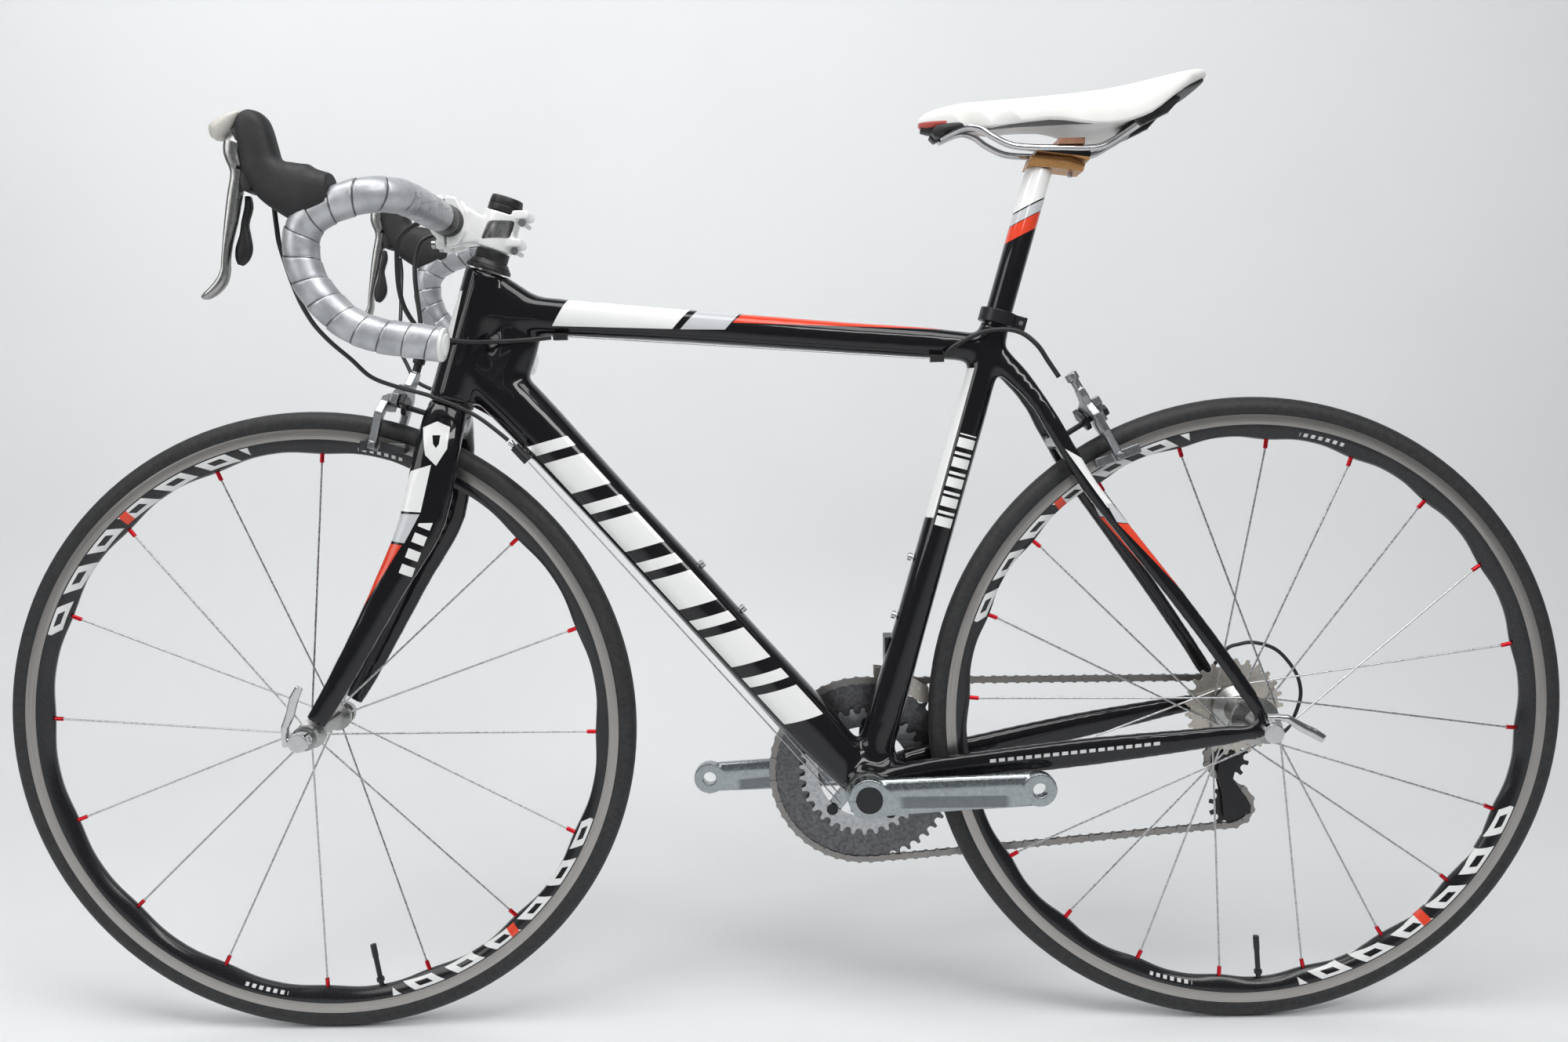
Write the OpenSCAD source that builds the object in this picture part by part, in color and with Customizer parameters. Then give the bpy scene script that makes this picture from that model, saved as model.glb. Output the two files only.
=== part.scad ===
// Road racing bicycle: carbon frame and fork, drop bar, double chainset, ten-speed cassette.
// Origin on the ground midway between the wheels; +X forward, +Y to the rider's left, +Z up. Millimetres.

/* [Wheels] */
// Distance between the two axles
wheelbase = 979; // [960:1:1010]
// Height of the axles above the ground
axle_z = 334; // [330:0.5:345]
// Tyre section diameter
tyre_d = 23; // [20:0.5:28]
// Radius of the rim's brake track at its outer edge
rim_r = 316; // [312:0.5:318]
// Rim depth from its outer edge to its inner edge
rim_depth = 24; // [20:0.5:32]
// Width of the rim across the brake tracks
rim_w = 20.4; // [19:0.1:24]
// Number of spokes in the front wheel
front_spokes_n = 16; // [16:2:32]
// Number of spokes in the rear wheel
rear_spokes_n = 20; // [20:4:32]
// Spoke diameter
spoke_d = 2; // [1.8:0.1:2.6]
// Radius of the front axle
front_axle_r = 4.5; // [4:0.1:6]
// Radius of the rear axle
rear_axle_r = 5; // [4.5:0.1:6]

/* [Frame] */
// Bottom bracket centre, forward position
bb_x = -88.8; // [-95:0.1:-80]
// Bottom bracket height
bb_z = 263; // [255:0.5:280]
// Head angle from the ground in degrees
head_angle = 72.5; // [71:0.1:74]
// Seat angle from the ground in degrees
seat_angle = 74; // [72:0.1:76]
// Height where the steering axis is at steer_x
steer_z = 829; // [820:1:840]
// Forward position of the steering axis at steer_z
steer_x = 291; // [285:0.5:297]
// Head tube outer diameter at the top
head_d = 45; // [42:0.5:50]
// Depth of the down tube
down_depth = 54; // [46:1:60]
// Depth of the top tube at the front
top_depth = 38; // [32:1:44]
// Outer diameter of the seat tube at its foot
seat_tube_d = 35; // [32:0.5:38]
// Depth of the chainstays in the middle
chainstay_depth = 28; // [22:1:32]
// Depth of the seatstays
seatstay_depth = 16; // [13:0.5:20]
// Radius of the seatpost
post_r = 13.6; // [13.4:0.05:15.8]
// Height of the top of the seatpost
post_top_z = 903; // [880:1:930]

/* [Cockpit] */
// Half the distance between the two brake hoods
hood_y = 187; // [175:1:210]
// Handlebar tube radius
bar_r = 12; // [11.5:0.1:12.5]
// Outer radius of the bar tape
tape_r = 15.8; // [14.5:0.1:17]
// Radius of the bar where the stem clamps it
clamp_r = 15.9; // [15.8:0.05:17.5]
// Radius of the steerer
steerer_r = 14.3; // [14.2:0.05:15.9]

/* [Drivetrain] */
// Crank length from axle to pedal hole
crank_len = 172.5; // [165:2.5:177.5]
// Crank angle in degrees: how far the rear arm points above level
crank_angle = 3.9; // [0:0.1:10]
// Radius of the crank axle
axle_r = 12; // [11.5:0.1:12.5]
// Thread radius of the pedal holes
pedal_r = 7.1; // [7:0.05:7.2]
// Radius of the circle that the five ring bolts stand on
bolt_circle_r = 55; // [52:0.5:58]
// Teeth on the large ring
ring_big = 50; // [46:1:54]
// Teeth on the small ring
ring_small = 34; // [34:1:38]
// Teeth on the smallest cog, which carries the chain
cog_small = 12; // [11:1:13]
// Sideways place of the large ring, on the rider's right
ring_y = 46; // [45:0.5:48]
// Sideways place of the smallest cog
cog_y = 60; // [58:0.5:61]
// Distance between neighbouring cogs
cog_step = 3.95; // [3.9:0.05:4.4]
// Teeth on the two derailleur pulleys
pulley_teeth = 11; // [11:1:11]

/* [Hidden] */
$fn = 48;
pitch = 12.7;
ha = head_angle; sa = seat_angle;
rx = -wheelbase/2; fx = wheelbase/2;
up_steer = [-cos(ha), 0, sin(ha)];
up_seat = [-cos(sa), 0, sin(sa)];
function steer_at(z) = [steer_x - (z - steer_z)/tan(ha), 0, z];
function seat_at(z) = [bb_x - (z - bb_z)/tan(sa), 0, z];
cogs = [cog_small, 13, 14, 15, 16, 17, 19, 21, 23, 25];
guide_at = [rx - 5.5, 267];
tension_at = [rx - 11.5, 213];
left_pedal = [bb_x - crank_len*cos(crank_angle), bb_z + crank_len*sin(crank_angle)];
right_pedal = [bb_x + crank_len*cos(crank_angle), bb_z - crank_len*sin(crank_angle)];
lever_pivot = [466, 880];
tyre_c = axle_z - tyre_d/2;
hub_off_f = 36; hub_off_l = 36; hub_off_r = 20;
bar_x = 331; bar_z = 858.5;

function unit(v) = v/norm(v);
function pr(n) = pitch/(2*sin(180/n));
function sgn(x, e) = x < 0 ? -pow(-x, e) : pow(x, e);
// Stations of a limb: [x, y, z, half depth, half width]
function at3(s) = [s[0], s[1], s[2]];
function tan_at(S, i) = let(n = len(S)) i == 0 ? unit(at3(S[1]) - at3(S[0])) :
    i == n-1 ? unit(at3(S[n-1]) - at3(S[n-2])) :
    unit(unit(at3(S[i+1]) - at3(S[i])) + unit(at3(S[i]) - at3(S[i-1])));
function ring_pts(c, u, v, a, b, n, p) = [for (j = [0:n-1]) let(t = 360*(j + 0.5)/n)
    c + a*sgn(cos(t), 2/p)*u + b*sgn(sin(t), 2/p)*v];
function wall(m, n) = [for (i = [0:m-2]) for (j = [0:n-1]) for (k = [0:1]) let(
    a = i*n + j, b = i*n + (j+1)%n, c = (i+1)*n + (j+1)%n, d = (i+1)*n + j)
    k == 0 ? [a, d, c] : [a, c, b]];
module skin(rings, n) {
    m = len(rings);
    polyhedron([for (r = rings) for (q = r) q],
        concat(wall(m, n), [[for (j = [0:n-1]) j]], [[for (j = [0:n-1]) m*n-1-j]]));
}
module limb(S, n = 14, p = 2.2) {
    skin([for (i = [0:len(S)-1]) let(t = tan_at(S, i), v = unit([0,1,0] - t[1]*t))
        ring_pts(at3(S[i]), cross(v, t), v, S[i][3], S[i][4], n, p)], n);
}
// Smooth curve through the points P with k steps between neighbours
function cr(a, b, c, d, t) = 0.5*((2*b) + (c-a)*t + (2*a-5*b+4*c-d)*t*t + (3*b-a-3*c+d)*t*t*t);
function spline(P, k) = let(n = len(P)) concat([for (i = [0:n-2]) for (s = [0:k-1])
    cr(P[max(i-1, 0)], P[i], P[i+1], P[min(i+2, n-1)], s/k)], [P[n-1]]);
function carry(P, i) = i == 0 ? let(t = tan_at(P, 0)) unit(cross(t, [0.31, 0.2, 0.93])) :
    let(t = tan_at(P, i), u = carry(P, i-1)) unit(u - (u*t)*t);
function tube_rings(P, r, n) = [for (i = [0:len(P)-1]) let(t = tan_at(P, i), u = carry(P, i))
    ring_pts(P[i], u, cross(t, u), r, r, n, 2)];
module cable(P, r, n = 8) { skin(tube_rings(P, r, n), n); }
module pipe(P, ro, ri, n = 12) {
    m = len(P);
    o = tube_rings(P, ro, n); q = tube_rings(P, ri, n);
    polyhedron([for (r = concat(o, q)) for (x = r) x], concat(wall(m, n),
        [for (f = wall(m, n)) [f[2]+m*n, f[1]+m*n, f[0]+m*n]],
        [for (j = [0:n-1]) for (k = [0:1]) let(a = j, b = (j+1)%n, c = m*n + (j+1)%n, d = m*n + j)
            k == 0 ? [a, b, c] : [a, c, d]],
        [for (j = [0:n-1]) for (k = [0:1]) let(a = (m-1)*n + j, b = (m-1)*n + (j+1)%n,
            c = m*n + (m-1)*n + (j+1)%n, d = m*n + (m-1)*n + j) k == 0 ? [c, b, a] : [d, c, a]]));
}
module rod(p, q, r, r2 = -1) {
    d = q - p; L = norm(d);
    translate(p) rotate([0, acos(d[2]/L), atan2(d[1], d[0])]) cylinder(h = L, r1 = r, r2 = r2 < 0 ? r : r2);
}
module about_y(x, z) { translate([x, 0, z]) rotate([-90, 0, 0]) children(); }
module plate(y0, t) { translate([0, y0 + t, 0]) rotate([90, 0, 0]) linear_extrude(t) children(); }
module peg(x, z, y0, y1, r) { translate([x, y0, z]) rotate([-90, 0, 0]) cylinder(h = y1 - y0, r = r); }
module on_steer(z) { translate(steer_at(z)) rotate([0, ha - 90, 0]) children(); }
module on_seat(z) { translate(seat_at(z)) rotate([0, sa - 90, 0]) children(); }
module sides() { children(); mirror([0, 1, 0]) children(); }

// ---------- frame ----------
seat_top_z = 747;
module bottle_at(k) {
    // Two on the down tube, two on the seat tube, 64 mm apart
    if (k < 2) translate([bb_x + 0.661*(228 + 64*k), 0, bb_z + 0.75*(228 + 64*k)]) rotate([0, -48.6, 0])
        translate([0, 0, down_depth/2]) children();
    else translate(seat_at(bb_z + 0.9613*(183 + 64*(k-2)))) rotate([0, sa, 0]) translate([0, 0, seat_tube_d/2]) children();
}
module frame_tubes() {
    c = head_d/2;
    on_steer(676.6) cylinder(h = 140, r1 = c + 1.5, r2 = c);
    limb([[bb_x+4, 0, bb_z+4, down_depth/2-3, 27], [-20, 0, 341, down_depth/2, 24], [100, 0, 478, down_depth/2, 23],
        [230, 0, 626, down_depth/2-1, 22], [318, 0, 718, down_depth/2-4, 19]]);
    limb([[-222, 0, 723, 14, 13], [-160, 0, 728.5, 16, 15], [0, 0, 742, 16.5, 16], [150, 0, 755, 18, 18],
        [215, 0, 760, top_depth/2, 19], [302, 0, 768, top_depth/2+2, 18]]);
    translate(seat_at(bb_z)) rotate([0, sa - 90, 0]) cylinder(h = (seat_top_z - bb_z)/sin(sa), r1 = seat_tube_d/2, r2 = 15.9);
    peg(bb_x, bb_z, -34, 34, 23);
    sides() {
        limb([[bb_x-6, 21, 266, 16, 11], [-165, 27, 284, chainstay_depth/2, 8.5], [-250, 38, 297, chainstay_depth/2+1, 8],
            [-321, 49, 308, chainstay_depth/2+1, 7.5], [-400, 61, 320, 12, 6.5], [-446, 67, 327, 9.5, 5.2],
            [-481, 69, 332, 9, 4]]);
        limb([[-224, 5, 718, 14, 9], [-249, 12, 692, 11, 9], [-272, 21.5, 661, 9.5, 7.5],
            [-311, 28, 592, 8.5, 7], [-336, 33, 556, 8, 6.5], [-402, 52, 468, seatstay_depth/2, 6], [-455, 65.5, 393, 7.5, 5],
            [-482, 69.5, 352, 8, 4]]);
    }
    // Brake bridge between the seatstays
    rod([-291, -24, 626], [-291, 24, 626], 8);
}
module frame() {
    color([0.05, 0.05, 0.06]) difference() {
        frame_tubes();
        translate(steer_at(676.6)) rotate([0, ha - 90, 0]) translate([0, 0, -2]) cylinder(h = 150, r = 20);
        peg(bb_x, bb_z, -40, 40, 17);
        on_seat(600) cylinder(h = 190, r = post_r);
        translate([-291, 0, 626]) rotate([0, -59, 0]) translate([0, 0, -30]) cylinder(h = 60, r = 3.1);
        for (k = [0:3]) bottle_at(k) translate([0, 0, -14]) cylinder(h = 30, r = 2.1);
        // Clear the dropout plates
        sides() peg(rx, axle_z, 64, 76, 15.5);
    }
}
module rear_dropouts() {
    color([0.75, 0.76, 0.78]) {
        difference() {
            union() { peg(rx, axle_z, 65.3, 71, 15); }
            peg(rx, axle_z, 60, 80, rear_axle_r);
        }
        difference() {
            union() {
                peg(rx, axle_z, -71, -65.3, 15);
                plate(-71, 5.7) polygon([[rx-13, axle_z-4], [rx+2, axle_z-14], [rx-2, axle_z-34], [rx-16, axle_z-36], [rx-19, axle_z-20]]);
            }
            peg(rx, axle_z, -80, -60, rear_axle_r);
            peg(rx-8.5, axle_z-27, -80, -60, 4);
        }
    }
}
module bearing_cups() {
    color([0.6, 0.6, 0.62]) for (z = [680, 800]) on_steer(z) difference() {
        cylinder(h = 8, r = 20); translate([0, 0, -1]) cylinder(h = 10, r = steerer_r + 0.05);
    }
    color([0.72, 0.73, 0.75]) sides() difference() {
        union() { peg(bb_x, bb_z, 22, 34, 17); peg(bb_x, bb_z, 34, 43.6, 22.5); }
        peg(bb_x, bb_z, 20, 50, axle_r + 0.05);
    }
}
module seat_clamp() {
    color([0.06, 0.06, 0.07]) on_seat(747) difference() {
        union() {
            cylinder(h = 14, r = 19);
            translate([-30, -7, 0]) cube([18, 14, 14]);
        }
        translate([0, 0, -1]) cylinder(h = 16, r = post_r);
        translate([-34, -1, -1]) cube([22, 2, 16]);
        translate([-24, -9, 7]) rotate([-90, 0, 0]) cylinder(h = 18, r = 2.5);
    }
}
module seatpost() {
    color([0.05, 0.05, 0.06]) on_seat(610) difference() {
        cylinder(h = (post_top_z - 610)/sin(sa), r = post_r);
        translate([0, 0, -1]) cylinder(h = (post_top_z - 630)/sin(sa), r = 11.4);
    }
}
module seatpost_head() {
    rail_clamp_plate();
    color([0.55, 0.35, 0.15]) difference() {
        plate(-16, 32) polygon([[-258, 904], [-262, 915], [-300, 912], [-316, 905], [-314, 898], [-285, 902]]);
        on_seat(890) cylinder(h = (post_top_z - 890)/sin(sa) + 0.001, r = post_r);
        for (x = [-270, -304]) translate([x, 0, 890]) cylinder(h = 40, r = 2.5);
    }
    color([0.06, 0.06, 0.07]) difference() {
        plate(-24, 48) polygon([[-266, 917], [-300, 912.5], [-318, 907], [-320, 915], [-308, 922], [-268, 922]]);
        for (s = [-1, 1]) rod([-255, 22*s, 921], [-330, 22*s, 919], 3.6);
        for (x = [-270, -304]) translate([x, 0, 890]) cylinder(h = 60, r = 2.5);
    }
}
module rail_clamp_plate() {
    color([0.62, 0.36, 0.26]) difference() {
        translate([-313, -27, 923]) cube([26, 54, 6]);
        for (s = [-1, 1]) rod([-255, 22*s, 921], [-330, 22*s, 919], 3.6);
        translate([-304, 0, 890]) cylinder(h = 60, r = 2.5);
    }
}
rail_half = [[-170, 9, 934], [-192, 14, 943], [-208, 20, 941], [-222, 22, 932], [-240, 22, 923.5], [-262, 22, 920.8], [-290, 22, 920],
    [-318, 22, 919.3], [-334, 22, 922], [-352, 25, 932], [-372, 32, 944], [-392, 36, 952]];
module saddle_rails() {
    color([0.8, 0.8, 0.82]) sides() cable(spline(rail_half, 2), 3.5, 10);
}
module saddle_base() {
    color([0.06, 0.06, 0.07]) difference() {
        limb([[-152, 0, 940.5, 4, 8], [-170, 0, 941, 5.6, 17], [-215, 0, 943, 6, 23], [-270, 0, 946, 5, 30],
            [-330, 0, 949, 5, 50], [-375, 0, 957, 5, 62], [-410, 0, 966, 4, 60], [-424, 0, 972, 3, 45]], 16, 3);
        sides() cable(spline(rail_half, 2), 3.8, 8);
    }
}
module saddle_pad() {
    color([0.93, 0.93, 0.92]) limb([[-150, 0, 950, 5, 9], [-158, 0, 953, 8, 15], [-190, 0, 959, 10.5, 20], [-240, 0, 961.5, 10.5, 26],
        [-290, 0, 963, 10.5, 38], [-340, 0, 966, 10, 56], [-380, 0, 973, 9, 66], [-408, 0, 980, 8, 64], [-428, 0, 985, 6, 46]], 18, 2.6);
}
module frame_bolts() {
    color([0.7, 0.7, 0.72]) {
        for (k = [0:3]) bottle_at(k) { translate([0, 0, -10]) cylinder(h = 12.5, r = 2.1); translate([0, 0, 1]) cylinder(h = 4, r = 4.2); }
        on_seat(747) translate([-24, -10, 7]) rotate([-90, 0, 0]) { cylinder(h = 18, r = 2.5); cylinder(h = 3, r = 4.2); }
        translate([-304, 0, 895]) { cylinder(h = 36, r = 2.5); translate([0, 0, 34.5]) cylinder(h = 4, r = 4.5); }
        translate([-270, 0, 905]) cylinder(h = 19, r = 2.5);
    }
}
module cable_stops() {
    color([0.07, 0.07, 0.08]) {
        for (q = [[221, 740.5], [-165, 712]]) difference() {
            translate([q[0]-7, 12, q[1]-3.5]) cube([14, 9, 7]);
            translate([q[0]-8, 19.5, q[1]]) rotate([0, 90, 0]) cylinder(h = 20, r = 1);
        }
        sides() difference() {
            rod([269, 31, 629], [256, 29.5, 614], 5);
            rod([275, 31.7, 636], [250, 29, 607], 1.2);
        }
    }
}
brake_tail = [[-173.4, 19.6, 715], [-179.4, 21.5, 722], [-197.8, 22.5, 732.5], [-214.5, 22.5, 738.7], [-236.3, 23, 740.1],
    [-252.4, 24, 735.2], [-266.7, 25, 723], [-277.3, 25, 707.3], [-288.3, 25, 691]];
mech_loop = [[-455, -78, 318], [-478, -84, 352], [-500.1, -84, 384], [-515.9, -84, 391], [-533.8, -84, 392.5], [-557.8, -83, 384],
    [-577, -82, 362], [-584, -80, 342], [-582, -78, 323], [-570, -76, 297], [-556, -75, 286]];
module frame_housings() {
    color([0.05, 0.05, 0.05]) {
        cable(spline(brake_tail, 2), 2.5, 8);
        cable(spline(mech_loop, 2), 2, 8);
    }
}
module bare_wires() {
    color([0.7, 0.7, 0.7]) {
        rod([213, 19.5, 740.5], [-157.5, 19.5, 712], 0.8);
        sides() rod([255.5, 29.5, 613], [bb_x+28, 16, 245], 0.8);
    }
}
// ---------- calipers: s to the side, w up, pivot at the origin, facing +x ----------
module caliper(ox, oz, tilt, side) { translate([ox, 0, oz]) rotate([0, tilt, 0]) mirror([0, side > 0 ? 0 : 1, 0]) children(); }
module flat(x0, t) { translate([x0, 0, 0]) rotate([90, 0, 90]) linear_extrude(t) children(); }
module brake_boss() { rotate([0, 90, 0]) { translate([0, 0, -26]) cylinder(h = 46, r = 3); translate([0, 0, -6]) cylinder(h = 5.6, r = 9);
    translate([0, 0, 17.6]) cylinder(h = 5, r = 6); } translate([0, -18, 8]) rotate([0, 90, 0]) { translate([0, 0, -5]) cylinder(h = 13, r = 3); }
    flat(-6, 5.6) polygon([[-24, 4], [-18, 15], [5, 8], [5, -8]]); }
module caliper_long() {
    // Long arm: cable adjuster on top at s = 26, pivots at s = -18, reaches the pad at s = 20
    difference() {
        flat(0, 8) polygon([[-26, 3], [-24, 13], [-14, 15], [8, 22], [18, 36], [31, 36], [31, 27], [27, 18], [35, 6], [35, -14], [29, -41],
            [29, -49], [20, -49], [20, -37], [25, -14], [24, 2], [16, 9], [0, 9.6], [-12, 1], [-20, -2]]);
        translate([-1, -18, 8]) rotate([0, 90, 0]) cylinder(h = 12, r = 3.05);
    }
    translate([4, 25, 34]) cylinder(h = 14, r = 4.5);
    translate([4, 25, 46]) cylinder(h = 8, r = 6.5);
    pad_block(1);
}
module caliper_short() {
    difference() {
        flat(8.4, 8.4) polygon([[8, -9], [10, 2], [28, 12], [28, 20], [20, 20], [4, 10], [-10, 9], [-26, 3], [-35, -10], [-30, -40],
            [-29, -49], [-20, -49], [-21, -38], [-25, -14], [-20, -6], [-8, -9]]);
        rotate([0, 90, 0]) cylinder(h = 30, r = 3.05);
    }
    pad_block(-1);
}
module pad_block(s) {
    translate([4, s*16.2, -45]) rotate([0, 12, 0]) translate([-24, -3.9, -5]) cube([48, 7.8, 10]);
    translate([s > 0 ? 4 : 12, s*12, -45]) rotate([s > 0 ? -90 : 90, 0, 0]) translate([0, 0, 6]) cylinder(h = 14, r = 4);
}
module on_front_brake() { caliper(391, 672, ha - 90, -1) children(); }
module on_rear_brake() { translate([-324, 0, 646]) rotate([0, 31.2, 0]) mirror([1, 0, 0]) children(); }
module front_brake_mount() { color([0.6, 0.62, 0.64]) on_front_brake() brake_boss(); }
module front_arm_right() { color([0.62, 0.65, 0.67]) on_front_brake() caliper_long(); }
module front_arm_left() { color([0.62, 0.65, 0.67]) on_front_brake() caliper_short(); }
module rear_brake_mount() { color([0.6, 0.62, 0.64]) on_rear_brake() brake_boss(); }
module rear_arm_left() { color([0.62, 0.65, 0.67]) on_rear_brake() caliper_long(); }
module rear_arm_right() { color([0.62, 0.65, 0.67]) on_rear_brake() caliper_short(); }

// ---------- fork and steering ----------
module fork() {
    color([0.05, 0.05, 0.06]) difference() {
        union() {
            on_steer(671) translate([0, 0, -24]) cylinder(h = 26, r = 22);
            sides() limb([[343, 12, 668, 22, 14], [348, 27, 640, 23, 12], [353, 33, 612, 24, 9.5], [363, 37, 560, 24, 8],
                [376, 40, 530, 20.5, 8], [396, 43.5, 494, 17, 7.5], [414, 46, 460, 15, 7], [437, 49.5, 418.5, 13.5, 6],
                [461, 53, 376.7, 12, 5], [477, 54, 348, 10.5, 4]]);
        }
        on_steer(671) translate([0, 0, -30]) cylinder(h = 40, r = steerer_r);
        sides() peg(fx, axle_z, 45, 62, 13.5);
        translate(steer_at(655)) rotate([0, ha, 0]) translate([0, 0, -40]) cylinder(h = 80, r = 3.1);
    }
}
module steerer_tube() {
    color([0.78, 0.79, 0.8]) on_steer(649) difference() {
        cylinder(h = (868 - 649)/sin(ha), r = steerer_r);
        translate([0, 0, 40]) cylinder(h = 300, r = steerer_r - 2.3);
        translate([0, 0, 6.3]) rotate([0, 90, 0]) translate([0, 0, -40]) cylinder(h = 80, r = 3.1);
    }
}
module fork_inserts() {
    steerer_tube();
    color([0.78, 0.79, 0.8]) sides() difference() {
        peg(fx, axle_z, 50.3, 57, 13);
        peg(fx, axle_z, 45, 62, front_axle_r);
    }
}
module headset_stack() {
    color([0.05, 0.05, 0.05]) {
        for (s = [[673.2, 3.3, 22.4], [810.6, 4.6, 23.5], [815.1, 15.6, 17], [868.5, 7, 17.3]]) on_steer(s[0]) difference() {
            cylinder(h = s[1], r = s[2]); if (s[0] < 868) translate([0, 0, -1]) cylinder(h = s[1]+2, r = steerer_r);
        }
        on_steer(875.3) cylinder(h = 9, r = 17.3);
    }
}
module stem() {
    color([0.93, 0.93, 0.92]) difference() {
        union() {
            on_steer(831) cylinder(h = 38.5, r = 19.5);
            peg(bar_x, bar_z, -22, 22, 22);
            hull() {
                on_steer(836) cylinder(h = 30, r = 17);
                translate([bar_x-9, -18, bar_z-17]) cube([8, 36, 34]);
            }
            on_steer(831) translate([-31, -15, 0]) cube([20, 30, 9]);
            on_steer(831) translate([-31, -15, 29.5]) cube([20, 30, 9]);
            for (z = [-22.5, 22.5]) translate([bar_x+3, 0, bar_z+z]) cube([10, 40, 9], center = true);
        }
        on_steer(820) cylinder(h = 80, r = steerer_r);
        peg(bar_x, bar_z, -30, 30, clamp_r);
        translate([bar_x+4.5, -40, bar_z-40]) cube([60, 80, 80]);
        on_steer(831) translate([-33, -0.8, -1]) cube([24, 1.6, 42]);
        on_steer(831) for (z = [4.5, 34]) translate([-25, -20, z]) rotate([-90, 0, 0]) cylinder(h = 40, r = 2.5);
        on_steer(831) translate([-15, -30, 13]) cube([24, 60, 13]);
        for (y = [-14, 14]) for (z = [-22.5, 22.5]) translate([bar_x-20, y, bar_z+z]) rotate([0, 90, 0]) cylinder(h = 50, r = 2.5);
    }
}
module stem_faceplate() {
    color([0.93, 0.93, 0.92]) difference() {
        union() {
            peg(bar_x, bar_z, -22, 22, 22);
            for (z = [-22.5, 22.5]) translate([bar_x+10, 0, bar_z+z]) cube([10, 40, 9], center = true);
        }
        peg(bar_x, bar_z, -30, 30, clamp_r);
        translate([bar_x-54.5, -40, bar_z-40]) cube([60, 80, 80]);
        translate([bar_x+10, -8, bar_z-30]) cube([30, 16, 60]);
        for (y = [-14, 14]) for (z = [-22.5, 22.5]) translate([bar_x-20, y, bar_z+z]) rotate([0, 90, 0]) cylinder(h = 50, r = 2.5);
    }
}
module cockpit_bolts() {
    lever_pins();
    color([0.7, 0.7, 0.72]) {
        on_steer(831) for (z = [4.5, 34]) translate([-25, -16, z]) rotate([-90, 0, 0]) {
            cylinder(h = 31.1, r = 2.5); translate([0, 0, 31.05]) cylinder(h = 3, r = 4);
        }
        for (y = [-14, 14]) for (z = [-22.5, 22.5]) translate([bar_x-2, y, bar_z+z]) rotate([0, 90, 0]) { cylinder(h = 17, r = 2.5); translate([0, 0, 17.001]) cylinder(h = 4, r = 4); }
    }
}
bar_half = [[bar_x, 0, bar_z], [bar_x, 40, bar_z], [bar_x, 90, bar_z], [bar_x, 128, bar_z], [335, hood_y-24, bar_z], [346, hood_y-8, 857.5], [360, hood_y-1, 855.5],
    [378, hood_y, 850.8], [394, hood_y, 844.5], [406, hood_y, 836.5], [413.5, hood_y, 826], [416, hood_y+0.5, 812], [414.6, hood_y+1, 797.4], [407.7, hood_y+1.5, 779],
    [394, hood_y+2, 760.4], [377, hood_y+2.5, 744.7], [357.8, hood_y+3, 735.6], [338, hood_y+3, 730.5], [315, hood_y+3, 727.3], [294.5, hood_y+3, 724]];
bar_path = spline(bar_half, 2);
function cut(P, a, b) = [for (i = [a:b]) P[i]];
module handlebar() {
    color([0.12, 0.12, 0.12]) {
        peg(bar_x, bar_z, -34, 34, clamp_r);
        sides() cable(concat([[bar_x, 44, bar_z]], cut(bar_path, 3, len(bar_path)-1)), bar_r, 12);
        sides() translate([bar_x, 33, bar_z]) rotate([-90, 0, 0]) cylinder(h = 22, r1 = clamp_r - 0.2, r2 = bar_r + 0.3);
    }
}
module bar_tape() {
    color([0.66, 0.67, 0.69]) sides() pipe(concat([[bar_x, 57, bar_z]], cut(bar_path, 4, len(bar_path)-1)), tape_r, bar_r + 0.4, 12);
    color([0.9, 0.9, 0.9]) sides() rod([294.2, hood_y+3, 723.9], [289.5, hood_y+3, 723.2], 14.5);
}
module lever_hoods() {
    color([0.06, 0.06, 0.07]) sides() difference() {
        limb([[394, hood_y, 857.5, 27, 17.5], [408, hood_y, 858, 28, 17.5], [425, hood_y-0.5, 864.5, 21.5, 16.5], [440.5, hood_y-1, 872, 21.5, 16], [447.5, hood_y-1, 885, 19, 16],
            [449, hood_y-1, 900, 16, 15.5], [452, hood_y-1, 914, 14.5, 14.5], [456, hood_y-1, 926, 8, 9]], 14, 2.4);
        cable(cut(bar_path, 10, 32), tape_r + 0.5, 12);
        peg(lever_pivot[0], lever_pivot[1], hood_y-8.4, hood_y+8.4, 7.5);
        plate(hood_y-9, 18) polygon([[458, 856], [458, 888], [461, 893], [462, 905], [470, 917], [492, 925], [494, 850]]);
        plate(hood_y-20, 40) polygon([[463, 897], [464, 918], [459, 935], [495, 935], [495, 890]]);
        plate(hood_y-10.8, 19.2) polygon([[449.5, 874], [449.5, 848], [490, 846], [488, 884]]);
    }
}
lever_shape = [[461.5, 886], [461.5, 873], [466, 859], [471.5, 839], [476, 827], [480, 802], [481, 787], [493.2, 772.6], [504.4, 767.1], [506.6, 771.9], [492.4, 787.2], [486.7, 802.4],
    [483.2, 831.1], [477.5, 855.7], [473.5, 874.7], [477.1, 886.1], [483.2, 900.4], [471, 912.5], [466, 900]];
module brake_lever_shape() {
    plate(hood_y-6, 11) polygon(lever_shape);
    plate(hood_y-13, 26) polygon([[464.6, 908], [467, 919], [464, 927], [478, 925], [486.8, 921.2], [490.1, 914.7], [488.6, 907.1], [483.2, 900.4], [472, 905]]);
}
module lever_left() { color([0.72, 0.73, 0.75]) difference() { brake_lever_shape(); peg(lever_pivot[0], lever_pivot[1], hood_y-9, hood_y+9, 2.5); } }
module lever_right() { mirror([0, 1, 0]) lever_left(); }
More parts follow.
